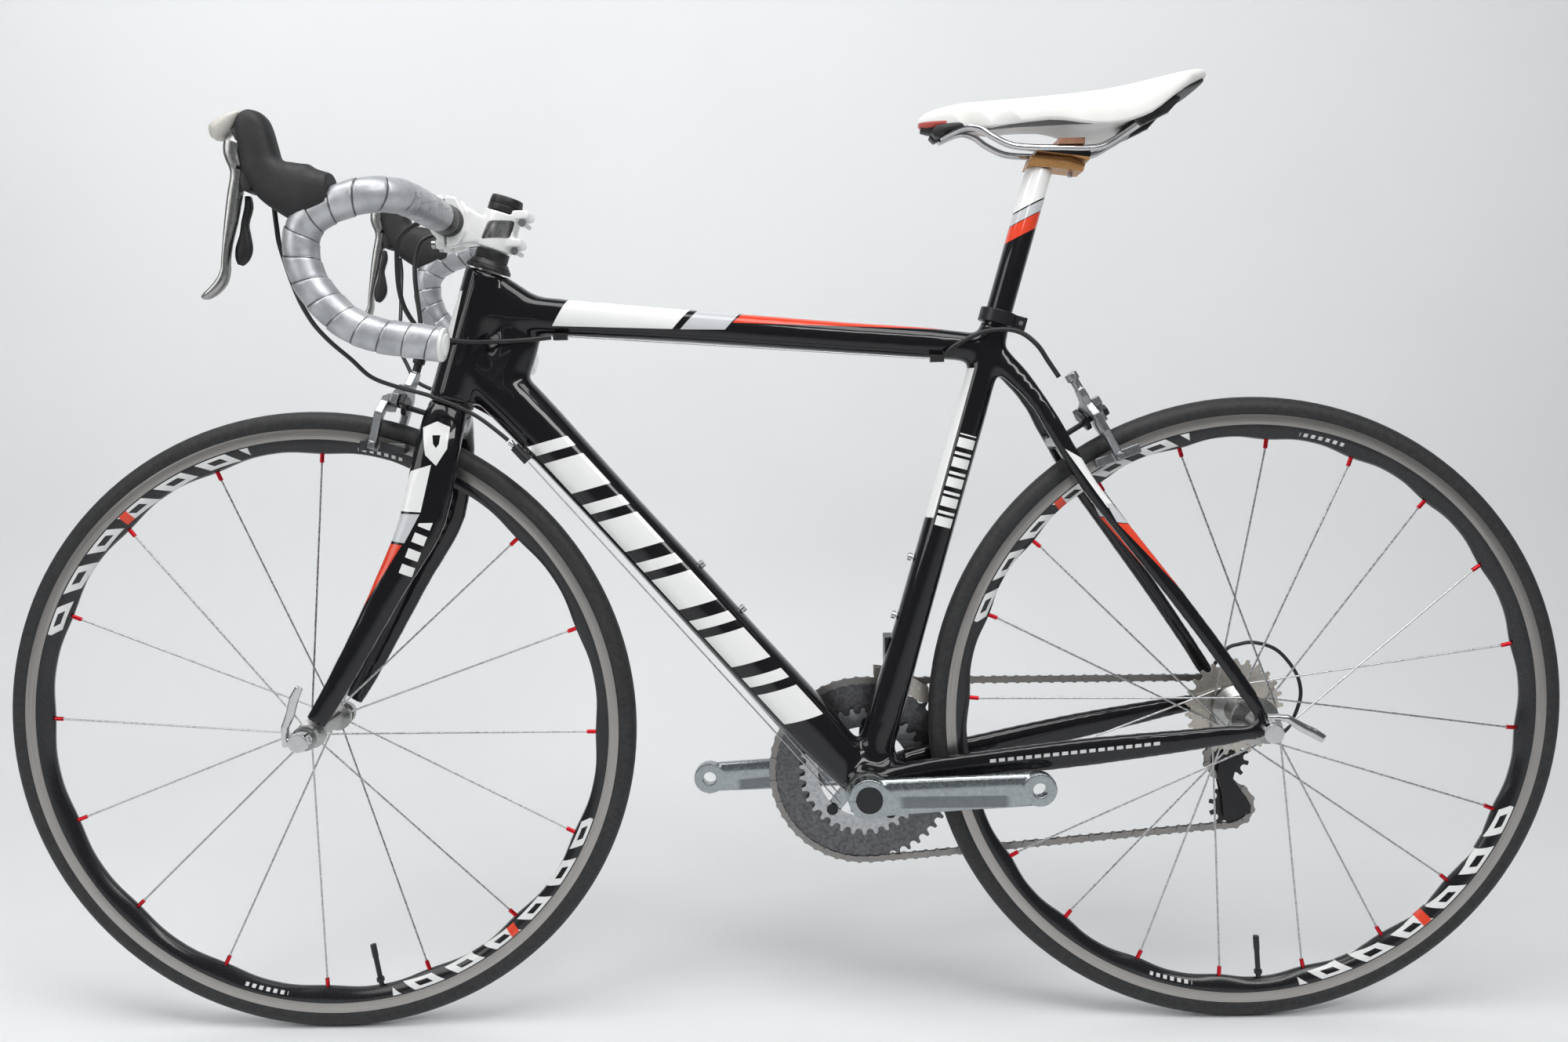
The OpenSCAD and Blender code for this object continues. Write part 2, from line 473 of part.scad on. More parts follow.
module lever_pins() { color([0.7, 0.7, 0.72]) sides() peg(lever_pivot[0], lever_pivot[1], hood_y-14, hood_y+14, 2.45); }
paddle_shape = [[461.8, 856], [460.5, 851], [464.6, 838.7], [466.5, 829], [461.6, 820], [461, 811.8], [467.5, 798], [473, 794.8], [477, 798], [477.3, 812], [472.8, 824], [468.8, 836], [464.9, 856]];
module paddle_left() {
    color([0.08, 0.08, 0.09]) { plate(hood_y-10, 8) polygon(paddle_shape); rod([460.6, hood_y-6, 856], [465, hood_y-6, 856], 2.2); }
}
module paddle_right() { mirror([0, 1, 0]) paddle_left(); }
gear_route = [[443.1, 175, 848], [441.9, 175, 832], [441.4, 170, 813.5], [437.6, 150, 776.3], [433.3, 128, 752], [425.2, 108, 734.6], [412.1, 88, 717.6],
    [398.8, 72, 700.8], [378, 58, 691], [351.9, 46, 682.8], [331.7, 40, 674.5], [316.8, 37, 667.2], [301.6, 35, 657.9], [286.2, 33, 645.4], [275, 31.7, 635.5]];
brake_route_rear = [[344, 77, 848], [355.9, 75, 842], [367, 70, 830.6], [371.5, 62, 810.4], [373.7, 52, 788.1], [370.8, 45, 769], [361, 38, 751],
    [348, 32, 741.5], [335.9, 29, 738.7], [320.9, 27.5, 736.9], [304.6, 27, 735.7], [264.1, 24.5, 736.6], [230, 19.7, 739.8]];
brake_route_front = [[347, -60, 851], [364, -55, 856], [379, -49, 849], [385.5, -46, 832], [386, -42, 812], [383.5, -38, 790], [379.5, -33, 762], [379, -28, 738.5], [379, -25, 725.8]];
module bar_housings() {
    color([0.05, 0.05, 0.05]) {
        sides() cable(spline(gear_route, 2), 2.2, 8);
        cable(spline(brake_route_rear, 2), 2.5, 8);
    }
}
module front_brake_housing() { color([0.05, 0.05, 0.05]) cable(spline(brake_route_front, 3), 2.5, 8); }

// ---------- wheels ----------
module tyre_at(x) {
    color([0.07, 0.07, 0.07]) about_y(x, axle_z) rotate_extrude($fn = 96) difference() {
        translate([tyre_c, 0]) circle(r = tyre_d/2);
        translate([tyre_c, 0]) circle(r = tyre_d/2 - 2.2);
        translate([rim_r - 40, 7.9]) square([40.2, 10]);
        translate([rim_r - 40, -17.9]) square([40.2, 10]);
        translate([rim_r - 40, -6]) square([40, 12]);
    }
}
module rim_at(x) {
    h = rim_w/2; a = rim_r; b = rim_r - rim_depth;
    color([0.45, 0.43, 0.41]) about_y(x, axle_z) rotate_extrude($fn = 96)
        polygon([[a, h], [a-15, h-0.6], [a-16.5, h-1.6], [b, 6.5], [b, -6.5], [a-16.5, 1.6-h], [a-15, 0.6-h], [a, -h], [a, -8.2], [a-8, -8.2], [a-8, 8.2], [a, 8.2]]);
}
function polar(x, a, r, y) = [x + r*cos(a), y, axle_z + r*sin(a)];
module nipple(x, a, y) {
    b = rim_r - rim_depth;
    rod(polar(x, a, b - 0.05, 0), polar(x, a, b - 11, y), 2.2);
}
module front_spokes() {
    color([0.75, 0.76, 0.78]) for (k = [0:front_spokes_n-1]) {
        a = 2.2 + 360*k/front_spokes_n; y = (k % 2 == 0 ? 1 : -1)*hub_off_f;
        rod(polar(fx, a, 15.1, y), polar(fx, a, rim_r - rim_depth - 11, y*0.04), spoke_d/2);
        nipple(fx, a, y*0.04);
    }
}
module rear_spokes() {
    color([0.75, 0.76, 0.78]) for (k = [0:rear_spokes_n-1]) {
        a = 4 + 360*k/rear_spokes_n; left = k % 2 == 0; y = left ? hub_off_l : -hub_off_r;
        s = (k % 4 == 0 || k % 4 == 3) ? 1 : -1;
        rod(polar(rx, a + 68*s, 25.9, y + (k % 4 < 2 ? 1.9 : -1.9)), polar(rx, a, rim_r - rim_depth - 11, y*0.04), spoke_d/2);
        nipple(rx, a, y*0.04);
    }
}
module valve_at(x, a) {
    p = polar(x, a, rim_r - 4, 0);
    rod(p, polar(x, a, rim_r - rim_depth - 34, 0), 3);
    rod(polar(x, a, rim_r - rim_depth - 34.001, 0), polar(x, a, rim_r - rim_depth - 41, 0), 2.2);
}
module front_rim() { difference() { rim_at(fx); rod(polar(fx, 260.6, rim_r+3, 0), polar(fx, 260.6, 270, 0), 3); } }
module rear_rim() { difference() { rim_at(rx); rod(polar(rx, 265.6, rim_r+3, 0), polar(rx, 265.6, 270, 0), 3); } }
module front_tyre() { tyre_at(fx); color([0.05, 0.05, 0.05]) valve_at(fx, 260.6); }
module rear_tyre() { tyre_at(rx); color([0.05, 0.05, 0.05]) valve_at(rx, 265.6); }
module front_hub() {
    color([0.72, 0.73, 0.75]) about_y(fx, axle_z) rotate_extrude() polygon([[front_axle_r+0.05, -49.8], [9, -49.8], [9, -41], [15, -38.5], [15, -33.5],
        [10, -27], [9.5, 0], [10, 27], [15, 33.5], [15, 38.5], [9, 41], [9, 49.8], [front_axle_r+0.05, 49.8]]);
}
module rear_hub() {
    color([0.72, 0.73, 0.75]) about_y(rx, axle_z) rotate_extrude() polygon([[rear_axle_r+0.05, -22.6], [22, -22.6], [24.8, -22.4], [24.8, -17.5], [15, -12],
        [13, 10], [15, 28], [24.8, 33.6], [24.8, 38.6], [13, 42], [12, 56], [9, 58], [9, 64.8], [rear_axle_r+0.05, 64.8]]);
}
// Quick release: a housing on the axle end with a cam shaft through it, and a curved arm on the shaft
module front_axle() {
    color([0.75, 0.76, 0.78]) {
        peg(fx, axle_z, -57, 57, front_axle_r);
        peg(fx, axle_z, -66, -57, 10.5);
        difference() { peg(fx, axle_z, 57, 75, 10); rod([fx-20, 66.5, axle_z], [fx+20, 66.5, axle_z], 4.05); }
    }
}
module rear_axle() {
    color([0.75, 0.76, 0.78]) {
        peg(rx, axle_z, -71, 71, rear_axle_r);
        peg(rx, axle_z, -80, -71, 10);
        difference() { peg(rx, axle_z, 71, 89, 10); rod([rx, 80.5, axle_z-20], [rx, 80.5, axle_z+20], 4.05); }
    }
}
module front_qr_lever() {
    color([0.72, 0.73, 0.75]) {
        rod([fx-9, 66.5, axle_z], [fx+13, 66.5, axle_z], 4);
        limb([for (p = [[14.8, 0, -5, 3.2, 4], [15, 0.5, 6, 3.4, 4.4], [14, 2, 15, 4, 4.2], [7.5, 4, 28, 4.6, 3.6], [1.5, 6.5, 46, 4.8, 3], [-5.5, 9, 58, 4, 2.4]])
            [fx + p[0], 66.5 + p[1], axle_z + p[2], p[3], p[4]]], 10, 2.6);
    }
}
module rear_qr_lever() {
    color([0.72, 0.73, 0.75]) {
        rod([rx, 80.5, axle_z-9], [rx, 80.5, axle_z+13], 4);
        limb([for (p = [[5, 0, 14.8, 3.2, 4], [-6, 0.5, 15, 3.4, 4.4], [-15, 2, 14, 4, 4.2], [-28, 4, 5.5, 4.8, 3.6], [-40, 6, -0.5, 5, 3], [-49, 8, -6, 4.4, 2.4]])
            [rx + p[0], 80.5 + p[1], axle_z + p[2], p[3], p[4]]], 10, 2.6);
    }
}

// ---------- transmission ----------
module tooth_gaps(n, a0) {
    r = pr(n);
    for (k = [0:n-1]) rotate(a0 + 360*k/n) translate([r, 0]) { circle(r = 4.05, $fn = 16); polygon([[0, -4.05], [5.5, -6.5], [5.5, 6.5], [0, 4.05]]); }
}
// Flat toothed disc standing in XZ, centred on [x, z]
module sprocket(c, n, y, t, a0, hole) {
    translate([c[0], y + t/2, c[1]]) rotate([90, 0, 0]) linear_extrude(t) difference() {
        circle(r = pr(n) + 2.5, $fn = 96);
        tooth_gaps(n, a0);
        circle(r = hole);
    }
}
// Chain line: arcs and straights, in pitches from the foot of the large ring
cR = [bb_x, bb_z]; cC = [rx, axle_z]; rR = pr(ring_big); rC = pr(cog_small); rP = pr(pulley_teeth);
function heading(a, b) = atan2(b[1] - a[1], b[0] - a[0]);
function span(a, b) = norm(b - a);
function dirn(a) = [cos(a), sin(a)];
n1 = heading(cR, cC) - acos((rR - rC)/span(cR, cC));
nA = (n1 < 0 ? n1 + 360 : n1);
n2 = heading(cC, guide_at) - acos((rC + rP)/span(cC, guide_at)) + 360;
m3 = heading(guide_at, tension_at) + acos(2*rP/span(guide_at, tension_at)) + 360;
n4 = heading(tension_at, cR) - acos((rP - rR)/span(tension_at, cR)) + 360;
p1 = cR + rR*dirn(nA); p2 = cC + rC*dirn(nA);
p3 = cC + rC*dirn(n2); p4 = guide_at - rP*dirn(n2);
p5 = guide_at + rP*dirn(m3); p6 = tension_at - rP*dirn(m3);
p7 = tension_at + rP*dirn(n4); p8 = cR + rR*dirn(n4);
ring0 = n4 - 360;
gA = n2 - 180; gB = m3 - 360; tA = m3 - 180;
L0 = (nA - ring0)*ring_big/360; L1 = span(p1, p2)/pitch; L2 = (n2 - nA)*cog_small/360; L3 = span(p3, p4)/pitch;
L4 = (gA - gB)*pulley_teeth/360; L5 = span(p5, p6)/pitch; L6 = (n4 - tA)*pulley_teeth/360; L7 = span(p7, p8)/pitch;
S1 = L0; S2 = S1 + L1; S3 = S2 + L2; S4 = S3 + L3; S5 = S4 + L4; S6 = S5 + L5; S7 = S6 + L6; S8 = S7 + L7;
links = 2*round(S8/2);
i7 = ceil(S7);
function at_s(s) = s < S1 ? cR + rR*dirn(ring0 + s*360/ring_big) : s < S2 ? p1 + (s - S1)/L1*(p2 - p1) :
    s < S3 ? cC + rC*dirn(nA + (s - S2)*360/cog_small) : s < S4 ? p3 + (s - S3)/L3*(p4 - p3) :
    s < S5 ? guide_at + rP*dirn(gA - (s - S4)*360/pulley_teeth) : s < S6 ? p5 + (s - S5)/L5*(p6 - p5) :
    s < S7 ? tension_at + rP*dirn(tA + (s - S6)*360/pulley_teeth) : p7 + (s - S7)/L7*(p8 - p7);
function link_s(i) = i <= i7 ? i : i7 + (i - i7)*(S8 - i7)/(links - i7);
function chain_y(x) = x < -452 ? -cog_y : x > -145 ? -ring_y : -cog_y + (cog_y - ring_y)*(x + 452)/307;
function pin_at(i) = let(q = at_s(link_s(i % links))) [q[0], chain_y(q[0]), q[1]];
ring_phase = ring0;
cog_phase = nA + (ceil(S2) - S2)*360/cog_small;
guide_phase = gA - (ceil(S4) - S4)*360/pulley_teeth;
tension_phase = tA + (ceil(S6) - S6)*360/pulley_teeth;
module link(p, q, y0, t) {
    d = q - p; L = norm(d);
    translate(p) rotate([0, 0, atan2(d[1], d[0])]) rotate([0, -atan2(d[2], norm([d[0], d[1]])), 0])
        for (s = [-1, 1]) translate([0, s*y0 + t/2, 0]) rotate([90, 0, 0]) linear_extrude(t) {
            circle(r = 4.1, $fn = 16); translate([L, 0]) circle(r = 4.1, $fn = 16); translate([0, -3.1]) square([L, 6.2]);
        }
}
module chain() {
    color([0.4, 0.4, 0.42]) for (i = [0:links-1]) {
        link(pin_at(i), pin_at(i+1), i % 2 == 0 ? 1.7 : 2.6, 0.7);
        p = pin_at(i);
        translate(p) rotate([90, 0, 0]) cylinder(h = 2.1, r = 3.55, center = true, $fn = 16);
    }
}
module chainrings() {
    color([0.3, 0.3, 0.31]) {
        difference() {
            union() {
                sprocket(cR, ring_big, -ring_y, 2, ring_phase, bolt_circle_r + 5);
                for (k = [0:4]) spider_arm(k) translate([bolt_circle_r + 3, -ring_y, 0])
                    rotate([90, 0, 0]) cylinder(h = 2, r = 8, center = true);
            }
            ring_holes();
        }
        difference() {
            sprocket(cR, ring_small, 5.6 - ring_y, 2, 0, bolt_circle_r - 4.5);
            ring_holes();
        }
    }
}
module spider_arm(k) { translate([bb_x, 0, bb_z]) rotate([0, -18 - 72*k - crank_angle, 0]) children(); }
module ring_holes() {
    for (k = [0:4]) spider_arm(k) translate([bolt_circle_r, -60, 0]) rotate([-90, 0, 0]) cylinder(h = 30, r = 4.02);
}
module crank_arm_right() {
    color([0.55, 0.58, 0.6]) {
        difference() {
            union() {
                peg(bb_x, bb_z, -62, -47.25, 27);
                limb([[bb_x+14, -56, bb_z-1, 19, 6.5], [bb_x+40, -57, bb_z-3, 18, 6.5], [bb_x+110, -62, bb_z-7.5, 17.4, 6.5],
                    [right_pedal[0]-8, -66.5, right_pedal[1]+0.5, 16.6, 6.1]], 12, 3);
                peg(right_pedal[0], right_pedal[1], -73, -60, 17.4);
            }
            peg(right_pedal[0], right_pedal[1], -90, -40, pedal_r);
            peg(bb_x, bb_z, -70, -40, axle_r + 0.02);
        }
        spider_and_axle();
    }
}
module spider_and_axle() {
    difference() {
        union() {
            peg(bb_x, bb_z, -47.2, -44, 27);
            for (k = [0:4]) spider_arm(k) {
                translate([24.5, -47.2, -8]) cube([bolt_circle_r - 24.5, 5.4, 16]);
                translate([bolt_circle_r, -46.3, 0]) rotate([-90, 0, 0]) cylinder(h = 4.3, r = 8.6);
            }
            peg(bb_x, bb_z, -61, 60, axle_r);
        }
        peg(bb_x, bb_z, -70, 70, axle_r - 2.5);
        ring_holes();
        difference() { peg(bb_x, bb_z, -48.6, -44.9, 80); peg(bb_x, bb_z, -50, -40, 46.6); }
    }
}
module crank_arm_left() {
    color([0.55, 0.58, 0.6]) difference() {
        union() {
            peg(bb_x, bb_z, 44, 62, 21.5);
            limb([[bb_x-8, 54, bb_z+0.5, 20, 7.5], [bb_x-50, 57, bb_z+3.5, 19, 7], [bb_x-110, 62, bb_z+7.5, 18, 6.5], [left_pedal[0]+8, 66.5, left_pedal[1]-0.5, 17.4, 6.5]], 12, 3);
            peg(left_pedal[0], left_pedal[1], 60, 73, 17.4);
        }
        peg(left_pedal[0], left_pedal[1], 40, 90, pedal_r);
        peg(bb_x, bb_z, 40, 70, axle_r);
        translate([bb_x+8, 40, bb_z-0.8]) cube([30, 30, 1.6]);
        for (y = [48.5, 57.5]) translate([bb_x+17, y, bb_z-30]) cylinder(h = 60, r = 2.3);
    }
}
module crank_bolts() {
    color([0.15, 0.15, 0.16]) {
        for (k = [0:4]) spider_arm(k) translate([bolt_circle_r, -48, 0]) rotate([-90, 0, 0]) {
            cylinder(h = 9.2, r = 4); cylinder(h = 0.9, r = 6.2); translate([0, 0, 8.6]) cylinder(h = 0.9, r = 6.2);
        }
        peg(bb_x, bb_z, 60.05, 63, axle_r - 0.05);
        peg(bb_x, bb_z, 62.05, 64, axle_r + 1.5);
        for (y = [48.5, 57.5]) translate([bb_x+17, y, bb_z-12.5]) cylinder(h = 25, r = 2.2);
    }
}
module cassette() {
    color([0.62, 0.58, 0.53]) {
        for (k = [0:len(cogs)-1]) sprocket(cC, cogs[k], -cog_y + k*cog_step, 1.6, k == 0 ? cog_phase : 11*k, k < 6 ? 14 : 17.5);
        difference() {
            union() { peg(rx, axle_z, -64.6, -22.9, 14); peg(rx, axle_z, -40.5, -23, 17.5); peg(rx, axle_z, -64.6, -60.8, 14.8); }
            peg(rx, axle_z, -70, -20, rear_axle_r + 0.05);
        }
    }
}
module pulley(c, a0) {
    color([0.08, 0.08, 0.08]) difference() {
        union() { sprocket(c, pulley_teeth, -cog_y, 2.2, a0, 3); peg(c[0], c[1], -cog_y-2.6, -cog_y+2.6, 6.5); }
        peg(c[0], c[1], -70, -50, 3.05);
    }
}
module guide_pulley() { pulley(guide_at, guide_phase); }
module tension_pulley() { pulley(tension_at, tension_phase); }
// Rear derailleur: upper knuckle on the hanger, a link on tilted pins, lower knuckle, cage
hang = [rx - 8.5, axle_z - 27];
link_axis = [0.5423, 0.4687, 0.6972];
link_low = [rx - 2.5, -76, 279];
link_top = link_low - 36*[0.8368, -0.3738, -0.3996];
// From the upper link pin outwards, square to it
knuckle_arm = 15*[0.2877, -0.8833, 0.3699];
cage_pivot = [rx - 5.5, 258.5];
module link_disc(p, a, b, r) { rod(p + a*link_axis, p + b*link_axis, r); }
module mech_knuckle() {
    color([0.06, 0.06, 0.07]) {
        difference() {
            union() {
                hull() { peg(hang[0], hang[1], -80, -71.3, 9.5); peg(rx - 31, axle_z - 35, -80, -71.3, 7); }
                hull() { peg(rx - 31, axle_z - 35, -80, -71.3, 7); link_disc(link_top + knuckle_arm, 6.4, 9.8, 5.5); }
                hull() for (p = [link_top, link_top + knuckle_arm]) link_disc(p, 6.4, 9.8, 5.5);
            }
            rod([rx - 30, -76, axle_z - 40], [rx - 70, -75, axle_z - 52], 2.1);
        }
        peg(hang[0], hang[1], -72, -64.9, 3.95);
        link_disc(link_top, -7, 7, 2.5);
        link_disc(link_top, -9, -6.4, 4);
        difference() {
            rod([rx - 37, -75.6, axle_z - 42], [rx - 62, -75.2, axle_z - 49.5], 4);
            rod([rx - 30, -76, axle_z - 40], [rx - 70, -75, axle_z - 52], 2.1);
        }
    }
}
module mech_link() {
    color([0.1, 0.1, 0.11]) difference() {
        hull() for (p = [link_top, link_low]) link_disc(p, -6, 6, 4.6);
        link_disc(link_top, -8, 8, 2.55);
        link_disc(link_low, -8, 8, 2.55);
    }
}
module mech_lower() {
    color([0.06, 0.06, 0.07]) {
        hull() { link_disc(link_low, -9.6, -6.3, 5.5); peg(cage_pivot[0], cage_pivot[1], -81, -69.5, 7); }
        link_disc(link_low, -7, 7, 2.5);
        link_disc(link_low, 6.4, 8.6, 4);
        peg(cage_pivot[0], cage_pivot[1], -70, -63.5, 3.45);
    }
}
module mech_cage() {
    g = guide_at; t = tension_at; c = cage_pivot;
    color([0.06, 0.06, 0.07]) {
        difference() {
            plate(-cog_y-6.9, 2.4) polygon([[g[0]+9, g[1]+9], [g[0]-6, g[1]+10], [g[0]-12, g[1]], [g[0]-7, g[1]-22], [t[0]-20, t[1]+2],
                [t[0]-20, t[1]-8], [t[0]+2, t[1]-14], [t[0]+10, t[1]-12], [t[0]+13, t[1]+18], [g[0]+12, g[1]-14]]);
            peg(c[0], c[1], -80, -60, 3.5);
        }
        plate(-cog_y+3.9, 2.4) polygon([[g[0]+8, g[1]+9], [g[0]-5, g[1]+10], [g[0]-11, g[1]], [g[0]-6, g[1]-22], [t[0]-20, t[1]+2],
            [t[0]-20, t[1]-8], [t[0]+2, t[1]-14], [t[0]+10, t[1]-12], [t[0]+13, t[1]+18], [g[0]+12, g[1]-14]]);
        for (q = [g, t]) peg(q[0], q[1], -cog_y-6.5, -cog_y+6.5, 3);
    }
}
module fd_mount() {
    color([0.7, 0.7, 0.72]) difference() {
        translate([-128, -30, 388]) cube([18, 30, 32]);
        on_seat(370) cylinder(h = 80, r = seat_tube_d/2 - 0.2);
        translate([-126.3, -31, 395.7]) cube([12.6, 11.5, 12.6]);
    }
}
module fd_cage() {
    color([0.7, 0.68, 0.64]) {
        for (y = [-ring_y-6.6, -ring_y+4.8]) difference() {
            about_y(bb_x, bb_z) translate([0, 0, y]) cylinder(h = 1.6, r = 118, $fn = 96);
            about_y(bb_x, bb_z) translate([0, 0, y-1]) cylinder(h = 4, r = y < -ring_y ? 106.5 : 99, $fn = 96);
            translate([bb_x-12, -90, 100]) cube([300, 80, 400]);
            translate([bb_x-300, -90, 0]) cube([600, 80, 340]);
            translate([bb_x-300, -90, 100]) cube([228, 80, 400]);
        }
        translate([bb_x-46, -ring_y-6, bb_z+107]) cube([12, 12.4, 2.4]);
        translate([-126, -41.6, 366]) cube([12, 3, 38]);
        translate([-126, -41.6, 396]) cube([12, 14.8, 12]);
    }
}

frame();
rear_dropouts();
bearing_cups();
seat_clamp();
seatpost();
seatpost_head();
saddle_rails();
saddle_base();
saddle_pad();
frame_bolts();
cable_stops();
frame_housings();
bare_wires();
rear_brake_mount();
rear_arm_left();
rear_arm_right();
fork();
fork_inserts();
headset_stack();
stem();
stem_faceplate();
cockpit_bolts();
handlebar();
bar_tape();
lever_hoods();
lever_left();
lever_right();
paddle_left();
paddle_right();
bar_housings();
front_brake_housing();
front_brake_mount();
front_arm_left();
front_arm_right();
front_tyre();
front_rim();
front_spokes();
front_hub();
front_axle();
front_qr_lever();
rear_tyre();
rear_rim();
rear_spokes();
rear_hub();
rear_axle();
rear_qr_lever();
crank_arm_right();
crank_arm_left();
chainrings();
crank_bolts();
cassette();
chain();
guide_pulley();
tension_pulley();
mech_knuckle();
mech_link();
mech_lower();
mech_cage();
fd_mount();
fd_cage();
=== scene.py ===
import bpy, bmesh
from math import sin, cos, tan, pi, radians, degrees, sqrt, atan2, floor
from mathutils import Vector, Matrix
from mathutils.kdtree import KDTree


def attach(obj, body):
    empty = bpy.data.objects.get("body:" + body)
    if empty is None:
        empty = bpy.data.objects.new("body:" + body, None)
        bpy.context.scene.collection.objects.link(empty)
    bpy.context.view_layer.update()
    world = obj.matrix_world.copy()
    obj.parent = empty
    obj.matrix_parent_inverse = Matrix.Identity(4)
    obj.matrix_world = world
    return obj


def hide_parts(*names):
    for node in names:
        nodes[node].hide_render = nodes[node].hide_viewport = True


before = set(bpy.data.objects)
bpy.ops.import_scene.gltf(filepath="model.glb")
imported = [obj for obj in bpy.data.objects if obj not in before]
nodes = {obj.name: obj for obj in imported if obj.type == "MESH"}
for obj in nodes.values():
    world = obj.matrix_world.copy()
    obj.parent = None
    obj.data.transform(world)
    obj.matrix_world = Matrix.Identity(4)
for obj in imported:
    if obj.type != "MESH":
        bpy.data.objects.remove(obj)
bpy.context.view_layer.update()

MM = 0.001
FRONT = Vector((0.4895, 0, 0.334))
REAR = Vector((-0.4895, 0, 0.334))
BOTTOM = Vector((-0.0888, 0, 0.263))
HOOD_Y = 187
HEAD_ANGLE, SEAT_ANGLE = radians(72.5), radians(74)


def mode(kind): bpy.ops.object.mode_set(mode=kind)


# ---------- camera, light and floor ----------
def camera():
    yaw, pitch, roll = radians(0.4987), radians(5.0045), radians(-0.9138)
    base = Matrix(((-1, 0, 0), (0, 0, -1), (0, -1, 0)))
    turn = Matrix(((cos(yaw), 0, sin(yaw)), (0, 1, 0), (-sin(yaw), 0, cos(yaw))))
    nod = Matrix(((1, 0, 0), (0, cos(pitch), -sin(pitch)), (0, sin(pitch), cos(pitch))))
    tilt = Matrix(((cos(roll), -sin(roll), 0), (sin(roll), cos(roll), 0), (0, 0, 1)))
    rows = tilt @ nod @ turn @ base
    data = bpy.data.cameras.new("camera")
    data.lens = 28.06
    data.sensor_width = 36
    data.clip_start = 0.02
    eye = bpy.data.objects.new("camera", data)
    bpy.context.scene.collection.objects.link(eye)
    right, down, ahead = rows[0], rows[1], rows[2]
    place = Matrix((right, -down, -ahead)).transposed().to_4x4()
    place.translation = Vector((-0.01646, 1.28143, 0.6579))
    eye.matrix_world = place
    bpy.context.scene.camera = eye


def lamp(name, place, aim, size, power, tint=(1, 1, 1)):
    data = bpy.data.lights.new(name, "AREA")
    data.shape = "RECTANGLE"
    data.size, data.size_y = size
    data.energy = power
    data.color = tint
    ob = bpy.data.objects.new(name, data)
    bpy.context.scene.collection.objects.link(ob)
    ob.location = place
    ob.rotation_euler = (Vector(aim) - Vector(place)).to_track_quat("-Z", "Y").to_euler()


def studio():
    bpy.context.scene.view_settings.view_transform = "Standard"
    world = bpy.data.worlds.new("studio")
    bpy.context.scene.world = world
    world.use_nodes = True
    world.node_tree.nodes["Background"].inputs[0].default_value = (0.86, 0.9, 0.94, 1)
    world.node_tree.nodes["Background"].inputs[1].default_value = 0.16
    lamp("ceiling", (0.3, 0.8, 2.7), (0, 0, 0.4), (3.2, 1.1), 56)
    lamp("left_window", (2.2, 1.7, 1.7), (0, 0, 0.5), (1.2, 1.6), 18)
    lamp("strip", (-1.1, 1.9, 2.1), (-0.1, 0, 0.5), (2.2, 0.35), 22)
    lamp("behind", (0, -2.2, 2.3), (0, 0, 0.4), (3.5, 1.2), 32)
    bpy.ops.mesh.primitive_plane_add(size=1, location=(0, 0, 0))
    floor_ob = bpy.context.object
    floor_ob.name = "floor"
    mode("EDIT")
    bpy.ops.transform.resize(value=(16, 8, 1))
    bpy.ops.mesh.select_mode(type="EDGE")
    select_where(floor_ob, lambda v: v.y < -3)
    bpy.ops.transform.translate(value=(0, 3.42, 0))
    for k in range(1, 9):
        a = radians(k * 90 / 8)
        b = radians((k - 1) * 90 / 8)
        bpy.ops.mesh.extrude_region_move(TRANSFORM_OT_translate={
            "value": (0, -0.5 * (sin(a) - sin(b)), 0.5 * (cos(b) - cos(a)))})
    bpy.ops.mesh.extrude_region_move(TRANSFORM_OT_translate={"value": (0, 0, 5)})
    mode("OBJECT")
    smooth(floor_ob, 60)
    settle(floor_ob)
    wear(floor_ob, wall_paint())


# ---------- modelling helpers ----------
def idle():
    if bpy.context.object and bpy.context.object.mode != "OBJECT":
        mode("OBJECT")
    bpy.ops.object.select_all(action="DESELECT")


def pick(ob):
    idle()
    ob.select_set(True)
    bpy.context.view_layer.objects.active = ob


def select_where(ob, test):
    """In edit mode, select exactly the points that pass the test."""
    bm = bmesh.from_edit_mesh(ob.data)
    for f in bm.faces: f.select = False
    for e in bm.edges: e.select = False
    for v in bm.verts: v.select = bool(test(v.co))
    bm.select_flush(True)
    bmesh.update_edit_mesh(ob.data)


def settle(ob):
    """The object's place goes into its mesh."""
    pick(ob)
    bpy.ops.object.transform_apply(location=True, rotation=True, scale=True)


def smooth(ob, angle=35):
    pick(ob)
    bpy.ops.object.shade_smooth_by_angle(angle=radians(angle))


def add_modifier(ob, kind, **settings):
    pick(ob)
    m = ob.modifiers.new(kind.lower(), kind)
    for key, value in settings.items(): setattr(m, key, value)
    bpy.ops.object.modifier_apply(modifier=m.name)


def soften(ob, width, segments=2, angle=40):
    add_modifier(ob, "BEVEL", width=width * MM, segments=segments, limit_method="ANGLE",
                 angle_limit=radians(angle))


def face_out(ob):
    pick(ob)
    mode("EDIT")
    bpy.ops.mesh.select_all(action="SELECT")
    bpy.ops.mesh.remove_doubles(threshold=0.00002)
    bpy.ops.mesh.normals_make_consistent(inside=False)
    mode("OBJECT")


def together(name, parts):
    idle()
    for p in parts: p.select_set(True)
    bpy.context.view_layer.objects.active = parts[0]
    if len(parts) > 1: bpy.ops.object.join()
    parts[0].name = parts[0].data.name = name
    return parts[0]


